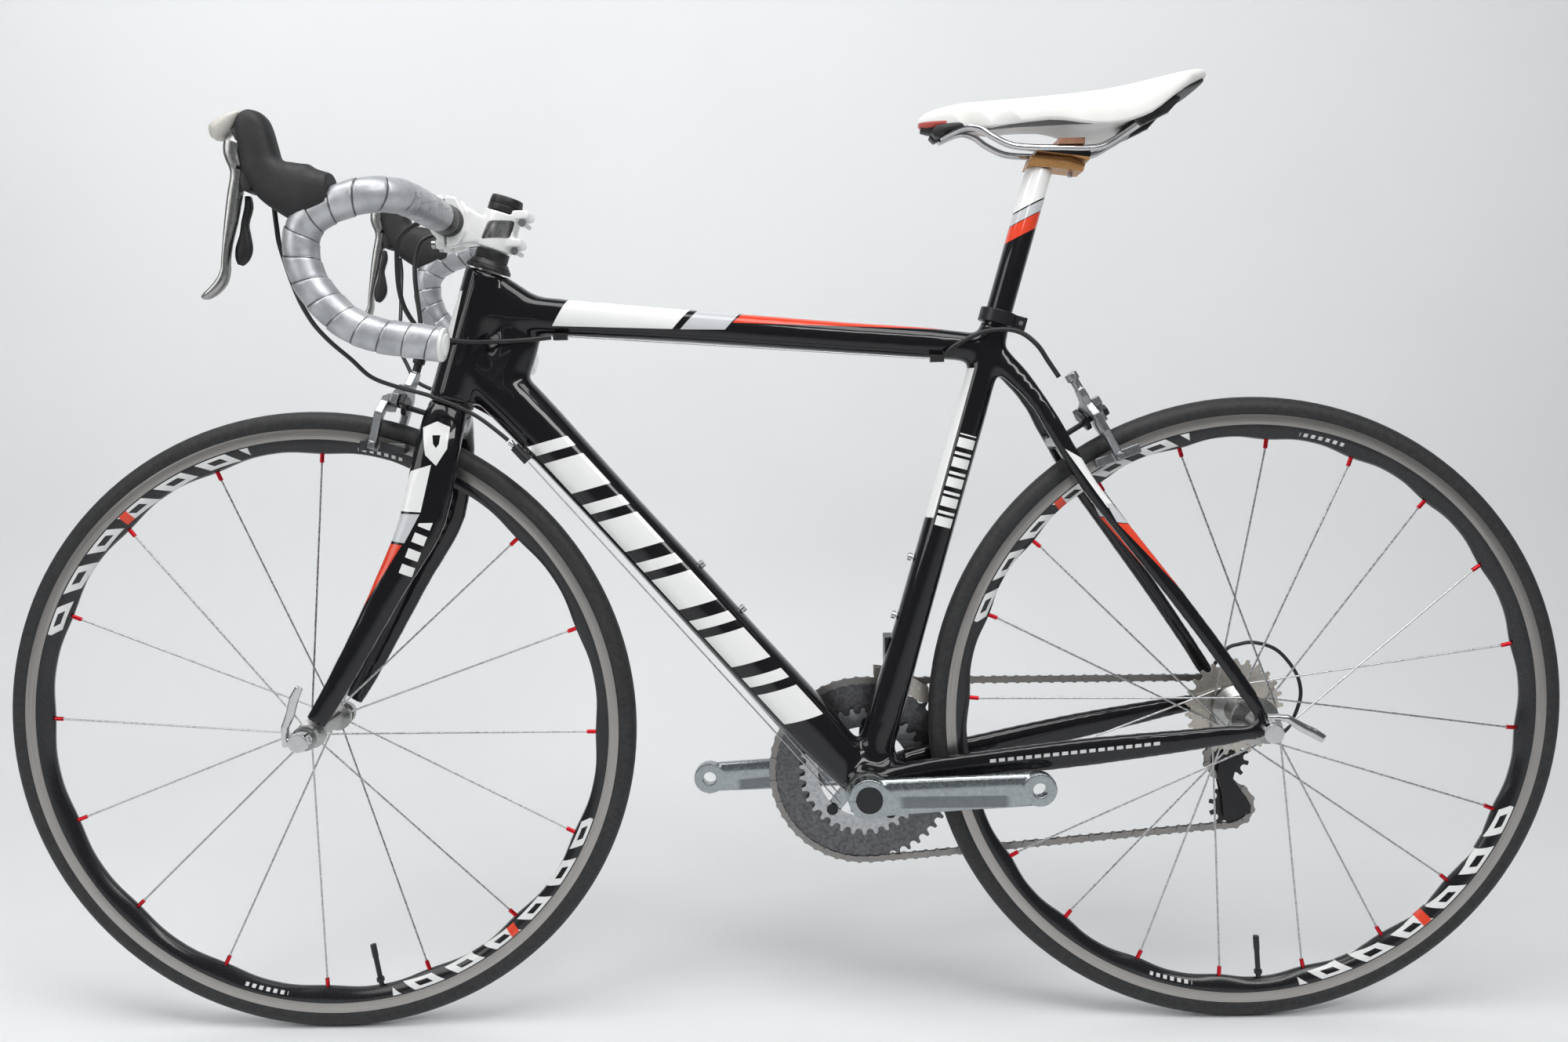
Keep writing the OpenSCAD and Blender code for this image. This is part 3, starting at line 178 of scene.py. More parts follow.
def other_side(ob, name=None):
    """A copy with its own mesh on the far side of the mid-plane."""
    pick(ob)
    bpy.ops.object.duplicate()
    twin = bpy.context.object
    twin.name = twin.data.name = name or ob.name + "_far"
    mode("EDIT")
    bpy.ops.mesh.select_all(action="SELECT")
    bpy.ops.transform.mirror(constraint_axis=(False, True, False), orient_type="GLOBAL",
                             center_override=(0, 0, 0))
    bpy.ops.mesh.normals_make_consistent(inside=False)
    mode("OBJECT")
    return twin


def pair(make, name):
    one = make(name)
    return together(name, [one, other_side(one)])


def fuse(ob, voxel, passes=0, factor=0.5):
    """Melts overlapping bodies into one skin."""
    add_modifier(ob, "REMESH", mode="VOXEL", voxel_size=voxel * MM)
    if passes: add_modifier(ob, "SMOOTH", factor=factor, iterations=passes)


def fillet(ob, spots, passes, factor=0.5):
    """Smooths the skin only round the spots (x, y, z, reach), so that joints flow together."""
    group = ob.vertex_groups.new(name="fillet")
    centres = [(Vector((x, y, z)) * MM, r * MM) for x, y, z, r in spots]
    for v in ob.data.vertices:
        w = 0
        for c, r in centres:
            d = (Vector((v.co.x, abs(v.co.y), v.co.z)) - c).length
            w = max(w, min(1, 2 * (1 - d / r)))
        if w > 0.02: group.add([v.index], w, "REPLACE")
    add_modifier(ob, "SMOOTH", factor=factor, iterations=passes, vertex_group="fillet")
    ob.vertex_groups.clear()


def through(points, steps):
    """A smooth run of points through the given ones (any number of values each)."""
    out, n = [], len(points)
    for i in range(n - 1):
        a, b = points[max(i - 1, 0)], points[i]
        c, d = points[i + 1], points[min(i + 2, n - 1)]
        for s in range(steps):
            t = s / steps
            out.append([0.5 * (2 * q + (r - p) * t + (2 * p - 5 * q + 4 * r - u) * t * t
                               + (3 * q - p - 3 * r + u) * t ** 3) for p, q, r, u in zip(a, b, c, d)])
    return out + [list(points[-1])]


def ring_places(stations):
    """Places for unit rings along a limb: local X is its depth, local Y its width."""
    pts = [Vector(s[:3]) * MM for s in stations]
    out = []
    for i, s in enumerate(stations):
        before, after = pts[max(i - 1, 0)], pts[min(i + 1, len(pts) - 1)]
        t = (after - before).normalized()
        w = (Vector((0, 1, 0)) - t.y * t).normalized()
        u = w.cross(t)
        m = Matrix((u * s[3] * MM, w * s[4] * MM, t * MM)).transposed().to_4x4()
        m.translation = pts[i]
        out.append(m)
    return out


def limb(name, stations, sides=20, power=2.2, steps=1):
    """A tapering limb: a circle drawn out along the stations [x, y, z, half depth, half width]."""
    idle()
    places = ring_places(through(stations, steps) if steps > 1 else stations)
    bpy.ops.mesh.primitive_circle_add(vertices=sides, radius=1, fill_type="NGON")
    ob = bpy.context.object
    ob.name = ob.data.name = name
    mode("EDIT")
    bm = bmesh.from_edit_mesh(ob.data)
    for v in bm.verts:
        v.co.x = abs(v.co.x) ** (2 / power) * (1 if v.co.x > 0 else -1)
        v.co.y = abs(v.co.y) ** (2 / power) * (1 if v.co.y > 0 else -1)
    bmesh.ops.transform(bm, matrix=places[0], verts=bm.verts)
    bmesh.update_edit_mesh(ob.data)
    for a, b in zip(places, places[1:]):
        bpy.ops.mesh.extrude_region_move()
        bm = bmesh.from_edit_mesh(ob.data)
        bmesh.ops.transform(bm, matrix=b @ a.inverted(), verts=[v for v in bm.verts if v.select])
        bmesh.update_edit_mesh(ob.data)
    bpy.ops.mesh.select_all(action="SELECT")
    bpy.ops.mesh.normals_make_consistent(inside=False)
    mode("OBJECT")
    return ob


def strand(name, points, radius, steps=6, rounds=3, caps=True):
    """A cable, wire or bent bar: a bevelled curve through the points, made a mesh."""
    idle()
    run = through(points, steps) if steps > 1 else points
    bpy.ops.curve.primitive_nurbs_path_add()
    ob = bpy.context.object
    ob.name = name
    data = ob.data
    data.splines.clear()
    line = data.splines.new("POLY")
    line.points.add(len(run) - 1)
    for p, q in zip(line.points, run):
        p.co = (q[0] * MM, q[1] * MM, q[2] * MM, 1)
        p.radius = q[3] / radius if len(q) > 3 else 1
    data.dimensions = "3D"
    data.twist_mode = "MINIMUM"
    data.bevel_depth = radius * MM
    data.bevel_resolution = rounds
    data.use_fill_caps = caps
    bpy.ops.object.convert(target="MESH")
    ob = bpy.context.object
    ob.name = ob.data.name = name
    smooth(ob, 50)
    settle(ob)
    return ob


def slab(name, outline, y0, y1, edge=0.8, segments=2):
    """A plate cut to an outline in X and Z, from y0 to y1, with eased edges."""
    idle()
    bpy.ops.mesh.primitive_circle_add(vertices=len(outline), radius=1, fill_type="NGON")
    ob = bpy.context.object
    ob.name = ob.data.name = name
    mode("EDIT")
    bm = bmesh.from_edit_mesh(ob.data)
    bm.verts.ensure_lookup_table()
    for v, (x, z) in zip(bm.verts, outline): v.co = (x * MM, y0 * MM, z * MM)
    bmesh.update_edit_mesh(ob.data)
    bpy.ops.mesh.extrude_region_move(TRANSFORM_OT_translate={"value": (0, (y1 - y0) * MM, 0)})
    bpy.ops.mesh.select_all(action="SELECT")
    bpy.ops.mesh.normals_make_consistent(inside=False)
    mode("OBJECT")
    if edge: soften(ob, edge, segments)
    smooth(ob)
    return ob


def barrel(name, p, q, r, r2=None, edge=0.4, sides=32):
    """A round bar from p to q with eased rims."""
    idle()
    p, q = Vector(p) * MM, Vector(q) * MM
    bpy.ops.mesh.primitive_cone_add(vertices=sides, radius1=r * MM, radius2=(r if r2 is None else r2) * MM,
                                    depth=(q - p).length)
    ob = bpy.context.object
    ob.name = ob.data.name = name
    ob.matrix_world = Matrix.Translation((p + q) / 2) @ (q - p).to_track_quat("Z", "Y").to_matrix().to_4x4()
    settle(ob)
    if edge: soften(ob, edge, 2, 30)
    smooth(ob)
    return ob


def turned(name, profile, centre, steps=96, smooth_angle=35):
    """A closed profile of (radius, y) spun about the wheel axis through centre."""
    idle()
    bpy.ops.mesh.primitive_circle_add(vertices=len(profile), radius=1)
    ob = bpy.context.object
    ob.name = ob.data.name = name
    mode("EDIT")
    bm = bmesh.from_edit_mesh(ob.data)
    bm.verts.ensure_lookup_table()
    for v, (r, y) in zip(bm.verts, profile): v.co = centre + Vector((r * MM, y * MM, 0))
    bmesh.update_edit_mesh(ob.data)
    bpy.ops.mesh.select_all(action="SELECT")
    bpy.ops.mesh.spin(steps=steps, angle=2 * pi, center=centre, axis=(0, 1, 0))
    bpy.ops.mesh.select_all(action="SELECT")
    bpy.ops.mesh.remove_doubles(threshold=0.00002)
    bpy.ops.mesh.normals_make_consistent(inside=False)
    mode("OBJECT")
    smooth(ob, smooth_angle)
    return ob


def cut(ob, tool):
    add_modifier(ob, "BOOLEAN", operation="DIFFERENCE", object=tool, solver="EXACT")
    bpy.data.objects.remove(tool)


# ---------- finishes ----------
class Finish:
    """A Principled surface; constant values sit on its own sockets, patterns are wired in."""

    def __init__(self, name, colour, metallic=0.0, rough=0.4, **more):
        self.mat = bpy.data.materials.new(name)
        self.mat.use_nodes = True
        self.mat.diffuse_color = (*colour, 1)
        self.tree = self.mat.node_tree
        self.face = self.tree.nodes["Principled BSDF"]
        self.put("Base Color", (*colour, 1))
        self.put("Metallic", metallic)
        self.put("Roughness", rough)
        for key, value in more.items(): self.put(key.replace("_", " "), value)
        self.place = self.tree.nodes.new("ShaderNodeTexCoord").outputs["Object"]

    def put(self, socket, value):
        self.face.inputs[socket].default_value = value

    def join(self, a, b):
        self.tree.links.new(a, b)

    def node(self, kind, **settings):
        n = self.tree.nodes.new("ShaderNode" + kind)
        for key, value in settings.items(): setattr(n, key, value)
        return n

    def maths(self, what, a, b=0.0, c=0.0, clamp=False):
        n = self.node("Math", operation=what, use_clamp=clamp)
        for socket, value in zip(n.inputs, (a, b, c)):
            if isinstance(value, (int, float)): socket.default_value = value
            else: self.join(value, socket)
        return n.outputs[0]

    def plus(self, a, b, c=0.0, clamp=False): return self.maths("ADD", a, b, c, clamp)

    def minus(self, a, b, c=0.0, clamp=False): return self.maths("SUBTRACT", a, b, c, clamp)

    def times(self, a, b, c=0.0, clamp=False): return self.maths("MULTIPLY", a, b, c, clamp)

    def flip(self, mask, clamp=False): return self.maths("SUBTRACT", 1.0, mask, 0.0, clamp)

    def grain(self, scale, detail=4.0, stretch=(1, 1, 1), rough=0.55, where=None):
        m = self.node("Mapping")
        m.inputs["Scale"].default_value = stretch
        self.join(where or self.place, m.inputs["Vector"])
        n = self.node("TexNoise")
        n.inputs["Scale"].default_value = scale
        n.inputs["Detail"].default_value = detail
        n.inputs["Roughness"].default_value = rough
        self.join(m.outputs[0], n.inputs["Vector"])
        return n.outputs["Fac"]

    def span(self, value, a, b, c, d):
        n = self.node("MapRange")
        self.join(value, n.inputs[0])
        for i, v in enumerate((a, b, c, d)): n.inputs[i + 1].default_value = v
        return n.outputs[0]

    def blend(self, mask, a, b):
        """Colour a where the mask is 0 and b where it is 1."""
        n = self.node("Mix", data_type="RGBA")
        if isinstance(mask, float): n.inputs[0].default_value = mask
        else: self.join(mask, n.inputs[0])
        for socket, value in ((n.inputs[6], a), (n.inputs[7], b)):
            if isinstance(value, (tuple, list)): socket.default_value = (*value[:3], 1)
            else: self.join(value, socket)
        return n.outputs[2]

    def colour(self, out):
        self.join(out, self.face.inputs["Base Color"])
        return self

    def mottle(self, a, b, scale, lo=0.35, hi=0.65, **k):
        return self.colour(self.blend(self.span(self.grain(scale, **k), lo, hi, 0, 1), a, b))

    def rough(self, lo, hi, scale, **k):
        self.join(self.span(self.grain(scale, **k), 0.3, 0.7, lo, hi), self.face.inputs["Roughness"])
        return self

    def bumps(self, height, strength, distance=0.0005, coat=False):
        n = self.node("Bump")
        n.inputs["Strength"].default_value = strength
        n.inputs["Distance"].default_value = distance
        self.join(height, n.inputs["Height"])
        self.join(n.outputs[0], self.face.inputs["Normal"])
        return self

    def axis(self, direction, offset=0.0):
        """How far a point lies along the direction, in millimetres, less the offset."""
        n = self.node("VectorMath", operation="DOT_PRODUCT")
        self.join(self.place, n.inputs[0])
        n.inputs[1].default_value = Vector(direction)
        return self.minus(self.times(n.outputs["Value"], 1000.0), offset)

    def across(self): return self.axis((0, 1, 0))

    def side(self): return self.maths("ABSOLUTE", self.across())

    def flecks(self, *scale): return self.span(self.grain(*scale), 0.35, 0.65, 0, 1)

    def over(self, value, limit, blur=0.25):
        """1 where the value is over the limit, with a fine soft edge."""
        return self.plus(self.maths("DIVIDE", self.minus(value, limit), blur), 0.5, clamp=True)

    def band(self, value, lo, hi, blur=0.25):
        return self.both(self.over(value, lo, blur), self.flip(self.over(value, hi, blur)))

    def both(self, *masks):
        out = masks[0]
        for m in masks[1:]: out = self.times(out, m)
        return out

    def either(self, *masks):
        out = masks[0]
        for m in masks[1:]: out = self.maths("MAXIMUM", out, m)
        return out

    def panel(self, corners):
        """1 inside a convex panel given by its corners in X and Z, seen from the side."""
        cx = sum(x for x, z in corners) / len(corners)
        cz = sum(z for x, z in corners) / len(corners)
        masks = []
        for (x0, z0), (x1, z1) in zip(corners, corners[1:] + corners[:1]):
            n = Vector((z1 - z0, 0, x0 - x1)).normalized()
            inside = n.x * (cx - x0) + n.z * (cz - z0)
            if inside < 0: n = -n
            masks.append(self.over(self.axis(n, n.x * x0 + n.z * z0), 0))
        return self.both(*masks)

    def around(self, centre):
        """(radius, angle in degrees) of a point about a wheel axle, in millimetres."""
        x = self.axis((1, 0, 0), centre.x * 1000)
        z = self.axis((0, 0, 1), centre.z * 1000)
        r = self.maths("SQRT", self.plus(self.times(x, x), self.times(z, z)))
        a = self.times(self.maths("ARCTAN2", z, x), 180 / pi)
        return r, a


def wear(ob, finish):
    ob.data.materials.clear()
    ob.data.materials.append(finish.mat)


def dress(name, finish):
    """A CAD node keeps its shape and gets a finish."""
    ob = nodes[name]
    if not ob.material_slots:
        ob.data.materials.append(finish.mat)
    for s in ob.material_slots: s.material = finish.mat


def stand(ob, body, finish, slot, *replaced):
    """A finished piece: its material, its body, and the CAD nodes it stands for."""
    if finish: wear(ob, finish)
    if replaced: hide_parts(*replaced)
    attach(ob, body)
    return ob


def wall_paint():
    f = Finish("wall_paint", (0.78, 0.79, 0.8), rough=0.75)
    f.mottle((0.775, 0.785, 0.795), (0.8, 0.81, 0.815), 1.5)
    return f


BLACK, WHITE, SILVER, RED = (0.006, 0.006, 0.007), (0.84, 0.84, 0.83), (0.55, 0.56, 0.58), (0.72, 0.06,
        0.025)


def lacquer(name, **k):
    """Clear-coated black carbon: faint flow in the coat, a hint of fibre below."""
    f = Finish(name, BLACK, rough=0.22, Coat_Weight=1.0, Coat_Roughness=0.03,
               Coat_IOR=1.42, Specular_IOR_Level=0.08, **k)
    f.under = f.blend(f.span(f.grain(900, 2), 0.35, 0.7, 0, 1), (0.004, 0.004, 0.005),
                      (0.011, 0.011, 0.013))
    f.colour(f.under)
    f.bumps(f.grain(55, 2), 0.035, 0.0006)
    return f


def alloy(name, colour=(0.62, 0.64, 0.66), rough=0.32, metallic=1.0, brushed=(1, 1, 1)):
    f = Finish(name, colour, metallic=metallic, rough=rough)
    dark = tuple(c * 0.93 for c in colour)
    f.mottle(dark, colour, 180, stretch=brushed)
    f.rough(rough - 0.05, rough + 0.09, 420, stretch=brushed)
    f.bumps(f.grain(1600, 2, stretch=brushed), 0.02, 0.0002)
    return f


def plastic(name, colour=(0.012, 0.012, 0.013), rough=0.45, pebble=1500, depth=0.12):
    f = Finish(name, colour, rough=rough)
    f.mottle(tuple(c * 0.8 for c in colour), tuple(min(1, c * 1.25) for c in colour), 60)
    f.rough(rough - 0.06, rough + 0.08, 240)
    f.bumps(f.grain(pebble, 3), depth, 0.0003)
    return f


FIN = {}


def finishes():
    FIN["satin"] = alloy("satin_alloy", (0.40, 0.40, 0.39), 0.3)
    FIN["bright"] = alloy("bright_alloy", (0.6, 0.6, 0.61), 0.14)
    FIN["steel"] = alloy("spoke_steel", (0.5, 0.5, 0.51), 0.28)
    FIN["black_alloy"] = alloy("black_alloy", (0.02, 0.02, 0.022), 0.34, metallic=0.4)
    FIN["rubber"] = plastic("hood_rubber", (0.014, 0.014, 0.015), 0.62, 900, 0.35)
    FIN["plastic"] = plastic("black_plastic")
    FIN["housing"] = plastic("cable_housing", (0.01, 0.01, 0.011), 0.4, 1200, 0.06)
    FIN["white"] = Finish("white_paint", WHITE, rough=0.28, Coat_Weight=0.6, Coat_Roughness=0.08) \
        .mottle((0.8, 0.8, 0.79), (0.87, 0.87, 0.86), 30).bumps(plain_noise("white_paint", 90), 0.03)
    FIN["chain"] = alloy("chain_steel", (0.3, 0.29, 0.28), 0.38)
    FIN["cog"] = alloy("cog_steel", (0.58, 0.54, 0.49), 0.3)


def plain_noise(material, scale):
    tree = bpy.data.materials[material].node_tree
    n = tree.nodes.new("ShaderNodeTexNoise")
    n.inputs["Scale"].default_value = scale
    where = next(x for x in tree.nodes if x.type == "TEX_COORD")
    tree.links.new(where.outputs["Object"], n.inputs["Vector"])
    return n.outputs["Fac"]


# ---------- frame ----------
def steer_at(z): return 291 - (z - 829) / tan(HEAD_ANGLE)
def seat_at(z): return -88.8 - (z - 263) / tan(SEAT_ANGLE)


def on_steer(z, y=0): return (steer_at(z), y, z)


def up_steer(z, h): return (steer_at(z) - h * cos(HEAD_ANGLE), 0, z + h * sin(HEAD_ANGLE))


def up_seat(z, h): return (seat_at(z) - h * cos(SEAT_ANGLE), 0, z + h * sin(SEAT_ANGLE))


def frame_paint():
    f = lacquer("frame_paint")
    c = f.under
    white = f.either(
        f.panel([(229, 751.5), (213, 779), (84, 771), (106, 746.5)]),
        f.panel([(-204, 702), (-161, 548), (-140, 548), (-188, 702)]),
        f.panel([(-293, 618), (-316, 605), (-353, 553), (-335, 558)]))
    silver = f.either(
        f.panel([(98, 746), (76, 770), (34, 765), (52, 745)]),
        f.panel([(-334, 562), (-353, 561), (-365, 541), (-344, 543)]))
    red = f.either(
        f.panel([(44, 752), (30, 765.5), (-193, 747), (-193, 741.2)]),
        f.panel([(-344.5, 542), (-365, 540.5), (-411, 476), (-404, 477)]))
    c = f.blend(white, c, WHITE)
    c = f.blend(silver, c, SILVER)
    c = f.blend(red, c, RED)
    # Slanted bars along the down tube, a broad one and a thin one in turn
    along = f.axis((0.661, 0, 0.7504), -0.0888 * 661 + 0.263 * 750.4)
    across = f.axis((0.7504, 0, -0.661), -0.0888 * 750.4 - 0.263 * 661)
    side = f.over(f.side(), 8)
    lean = f.plus(along, f.times(across, -0.5))
    pitch = 82.0
    step = f.maths("MODULO", f.minus(lean, 98.0), pitch)
    tape = f.both(f.band(lean, 98, 98 + pitch * 5 - 12), f.band(across, -19, 19), side)
    bars = f.both(f.either(f.band(step, 2, 44), f.band(step, 55, 68)), tape)
    c = f.blend(bars, c, WHITE)
    # Head badge and a fine pair of lines on the chainstay
    badge = f.panel([(338, 789), (320, 789), (332, 741), (350, 741)])
    c = f.blend(badge, c, WHITE)
    fine = f.both(f.panel([(-215, 298), (-215, 294.5), (-385, 318), (-385, 321.5)]),
                  f.band(f.maths("MODULO", f.axis((-1, 0, 0), 215), 9.0), 0, 6.2),
                  f.over(f.across(), 20))
    c = f.blend(fine, c, (0.6, 0.6, 0.6))
    rise = f.maths("MODULO", f.axis((-0.27, 0, 0.96), 540), 21.0)
    seat_bars = f.both(f.panel([(-178, 534), (-161, 538.5), (-189, 635.7), (-206, 631)]),
                       f.either(f.band(rise, 2, 12), f.band(rise, 15, 18)),
                       f.over(f.side(), 5))
    c = f.blend(seat_bars, c, WHITE)
    f.colour(c)
    return f


def frame_shell():
    parts = [
        barrel("head", up_steer(677.3, 0), up_steer(677.3, 138), 24, 22.6, edge=0),
        limb("down", [[-86, 0, 266, 22, 27], [-62, 0, 293, 25, 27], [-20, 0, 341, 27, 25],
                      [40, 0, 409, 27, 24],
                      [100, 0, 478, 27, 23.5], [165, 0, 552, 26.5, 22.5], [230, 0, 626, 27.5, 22],
                      [275, 0, 676, 29, 21], [312, 0, 712, 27, 18]], 24, 2.3, 2),
        limb("top", [[-218, 0, 722, 15, 14], [-160, 0, 728.5, 16, 15.5], [-80, 0, 735, 16, 16],
                     [0, 0, 742, 16.5, 16.5],
                     [80, 0, 749, 17, 17.5], [150, 0, 755, 18, 18], [215, 0, 760, 19.5, 19.5],
                     [262, 0, 764, 22, 20], [300, 0, 770, 24, 18]], 24, 2.4, 2),
        limb("seat", [[-84, 0, 246, 14, 20], [-88.8, 0, 263, 18, 22], [seat_at(300), 0, 300, 19.5, 19],
                      [seat_at(350), 0, 350, 18.5, 17], [seat_at(430), 0, 430, 17, 16.5],
                      [seat_at(600), 0, 600, 16.5, 16.5], [seat_at(690), 0, 690, 16.5, 16.3],
                      [seat_at(746), 0, 746, 15.9, 15.9]], 24, 2.1, 2),
        barrel("bottom_shell", (-88.8, -33.8, 263), (-88.8, 33.8, 263), 23.5, edge=0),
        limb("gusset", [[288, 0, 700, 26, 19], [278, 0, 720, 27, 19.5], [268, 0, 745, 25, 19]], 20, 2.2, 2),
        limb("brow", [[286, 0, 782, 24, 18.5], [270, 0, 775, 20.5, 18], [258, 0, 769, 19, 18],
                      [240, 0, 764, 18.5, 18],
                      [222, 0, 761, 18, 17.5]], 20, 2.2, 2),
        limb("yoke", [[-130, 0, 277, 20, 30], [-95, 0, 264, 22, 31], [-70, 0, 262, 16, 26]], 20, 2.6, 2),
        barrel("bridge", (-291, -24, 626), (-291, 24, 626), 8, edge=0),
        barrel("stop_boss", (262.5, -26.5, 621.5), (262.5, 26.5, 621.5), 6.5, edge=0),
    ]
    stays = [
        limb("chainstay", [[-92, 20, 264, 17, 12], [-140, 25, 277, 17, 10], [-175, 28, 284.5, 15, 8.5],
                           [-215, 32.5, 291, 14.5, 8], [-250, 38, 297, 14.5, 8], [-321, 49, 308, 14.5, 7.5],
                           [-400, 61, 320, 12, 6.5], [-446, 67, 327, 10, 5.2], [-481, 69, 332, 9.5,
                                   4.2]], 20, 2.3, 2),
        limb("seatstay", [[-224, 5, 718, 14, 9], [-249, 12, 692, 11.5, 9], [-272, 21.5, 661, 9.5, 7.5],
                          [-311, 28, 592, 8.5, 7], [-336, 33, 556, 8, 6.5], [-402, 52, 468, 8, 6],
                          [-455, 65.5, 393, 7.8, 5], [-482, 69.5, 350, 8.5, 4.2]], 20, 2.3, 2),
        barrel("dropout_pad", (-489.5, 65.2, 334), (-489.5, 71, 334), 16.2, edge=0),
    ]
    parts += stays + [other_side(s) for s in stays]
    shell = together("frame_shell", parts)
    face_out(shell)
    fuse(shell, 2.5, 4)
    fillet(shell, [(276, 0, 705, 78), (285, 0, 765, 62), (-88, 0, 275, 85), (-215, 0, 712, 62),
                   (-262, 18, 672, 34), (-480, 68, 338, 34)], 34)
    fillet(shell, [(270, 0, 735, 48), (-100, 0, 300, 42), (-105, 12, 262, 42)], 30)
    smooth(shell, 180)
    return shell


def seatpost_paint():
    f = lacquer("seatpost_paint")
    c = f.under
    up = f.axis((-0.2756, 0, 0.9613), 0.0888 * 275.6 + 263 * 0.9613)
    slant = f.plus(up, f.times(f.axis((0.9613, 0, 0.2756), 0.12 * 1000 - 88), 0.9))
    front = f.over(f.across(), -20)
    c = f.blend(f.both(front, f.band(slant, 588, 700)), c, WHITE)
    c = f.blend(f.both(front, f.band(slant, 574, 586)), c, SILVER)
    c = f.blend(f.both(front, f.band(slant, 556, 573)), c, RED)
    f.colour(c)
    return f


def make_frame():
    stand(frame_shell(), "frame", frame_paint(), "carbon_gloss", "frame")
    post = turned_on_seat("seatpost_tube", 612, [(13.6, 0), (13.6, 291 / sin(SEAT_ANGLE))])
    stand(post, "frame", seatpost_paint(), "carbon_gloss", "seatpost")


def turned_on_seat(name, z, profile):
    top = profile[-1][1]
    return barrel(name, up_seat(z, 0), up_seat(z, top), profile[0][0], edge=0.6, sides=48)


# ---------- fork ----------
def fork_paint():
    f = lacquer("fork_paint")
    c = f.under
    near = f.over(f.across(), 0)
    shield = f.both(f.panel([(362, 650), (347, 656), (334, 650), (336, 628), (347, 611), (358, 622)]), near)
    heart = f.both(f.panel([(351, 642), (343, 642), (344, 633), (347, 629), (350, 633)]), near)
    c = f.blend(shield, c, WHITE)
    c = f.blend(f.both(heart, shield), c, f.under)
    c = f.blend(f.either(f.panel([(374, 606), (352, 612), (364, 564), (393, 566)])), c, WHITE)
    c = f.blend(f.panel([(394, 563), (365, 562), (381, 533), (407, 537)]), c, SILVER)
    c = f.blend(f.panel([(408, 534), (383, 531), (404, 500), (429, 462), (434, 462)]), c, RED)
    marks = f.both(f.panel([(352, 553), (366, 553), (392, 492), (380, 486)]),
                   f.band(f.maths("MODULO", f.axis((-0.4, 0, 0.91), 300), 17.0), 3, 13), near)
    c = f.blend(marks, c, WHITE)
    f.colour(c)
    return f


def fork_shell():
    crown = [limb("crown", [[*on_steer(645), 20, 17], [*on_steer(655), 24, 21], [*on_steer(668), 23, 22],
                            [*on_steer(673), 22.5, 22.5]], 24, 2.1, 2)]
    blade = limb("blade", [[343, 10, 664, 22, 15], [346, 20, 646, 23, 14.5], [348.5, 29, 628, 23.5, 11.5],
                           [352.5, 33, 606, 24, 9.5], [363, 37, 560, 24, 8], [376, 40, 530, 21, 8],
                           [396, 43.5, 494, 17.2, 7.5], [414, 46, 460, 15, 7], [437, 49.5, 418.5, 13.3, 6],
                           [461, 52.5, 376.7, 12, 5.2], [478, 53.8, 350, 11, 4.4]], 20, 2.3, 2)
    shell = together("fork_shell", crown + [blade, other_side(blade)])
    face_out(shell)
    fuse(shell, 2.2, 4)
    fillet(shell, [(345, 0, 645, 45), (346, 20, 640, 36)], 26)
    smooth(shell, 180)
    return shell


def make_fork():
    stand(fork_shell(), "steering", fork_paint(), "carbon_gloss", "fork")


# ---------- wheels ----------
def tyre_rubber():
    f = Finish("tyre_rubber", (0.016, 0.016, 0.017), rough=0.62)
    f.mottle((0.012, 0.012, 0.013), (0.024, 0.024, 0.025), 220)
    f.bumps(f.grain(2200, 3), 0.25, 0.0003)
    return f


def wheel_radius_paint(name, centre):
    """Machined brake track outside, dark band with pale blocks inside."""
    f = Finish(name, (0.3, 0.29, 0.28), metallic=1.0, rough=0.3)
    r, a = f.around(centre)
    rings = f.node("TexNoise")
    rings.inputs["Scale"].default_value = 1.0
    line = f.node("CombineXYZ")
    f.join(f.times(r, 9.0), line.inputs[0])
    f.join(f.times(a, 0.06), line.inputs[1])
    f.join(line.outputs[0], rings.inputs["Vector"])
    track = f.blend(f.span(rings.outputs["Fac"], 0.35, 0.65, 0, 1), (0.3, 0.285, 0.27), (0.5, 0.48, 0.46))
    band = f.flip(f.over(r, 305.5))
    turn = f.maths("MODULO", f.plus(a, 720.0), 180.0)
    slant = f.plus(turn, f.times(f.minus(r, 298.0), 0.22))
    block = f.maths("MODULO", slant, 9.5)
    zone = f.both(f.band(turn, 20, 78), f.band(r, 293.2, 304.2), f.band(block, 1.6, 8.1, 0.1))
    inner = f.both(zone, f.band(block, 3.4, 6.3, 0.1), f.band(r, 296.2, 301.2))
    accent = f.both(f.band(turn, 48.2, 50.2), f.band(r, 293.2, 304.2))
    small = f.both(f.band(turn, 100, 109), f.band(r, 297, 300.6),
                   f.band(f.maths("MODULO", turn, 1.5), 0.3, 1.1, 0.1))
    dark = f.blend(f.span(f.grain(700, 2), 0.35, 0.7, 0, 1), (0.006, 0.006, 0.007), (0.016, 0.016, 0.018))
    c = f.blend(f.minus(zone, inner, clamp=True), dark, (0.75, 0.75, 0.75))
    c = f.blend(small, c, (0.7, 0.7, 0.7))
    c = f.blend(accent, c, RED)
    f.colour(f.blend(band, track, c))
    f.join(f.flip(band), f.face.inputs["Metallic"])
    f.join(f.span(band, 0, 1, 0.33, 0.2), f.face.inputs["Roughness"])
    f.bumps(rings.outputs["Fac"], 0.06, 0.0002)
    return f


def spoke_paint(name, centre):
    f = Finish(name, (0.5, 0.5, 0.51), metallic=1.0, rough=0.3)
    r, a = f.around(centre)
    nipple = f.over(r, 280.6)
    steel = f.blend(f.flecks(300), (0.4, 0.4, 0.4), (0.56, 0.56, 0.57))
    f.colour(f.blend(nipple, steel, (0.62, 0.02, 0.03)))
    f.rough(0.22, 0.34, 300)
    return f


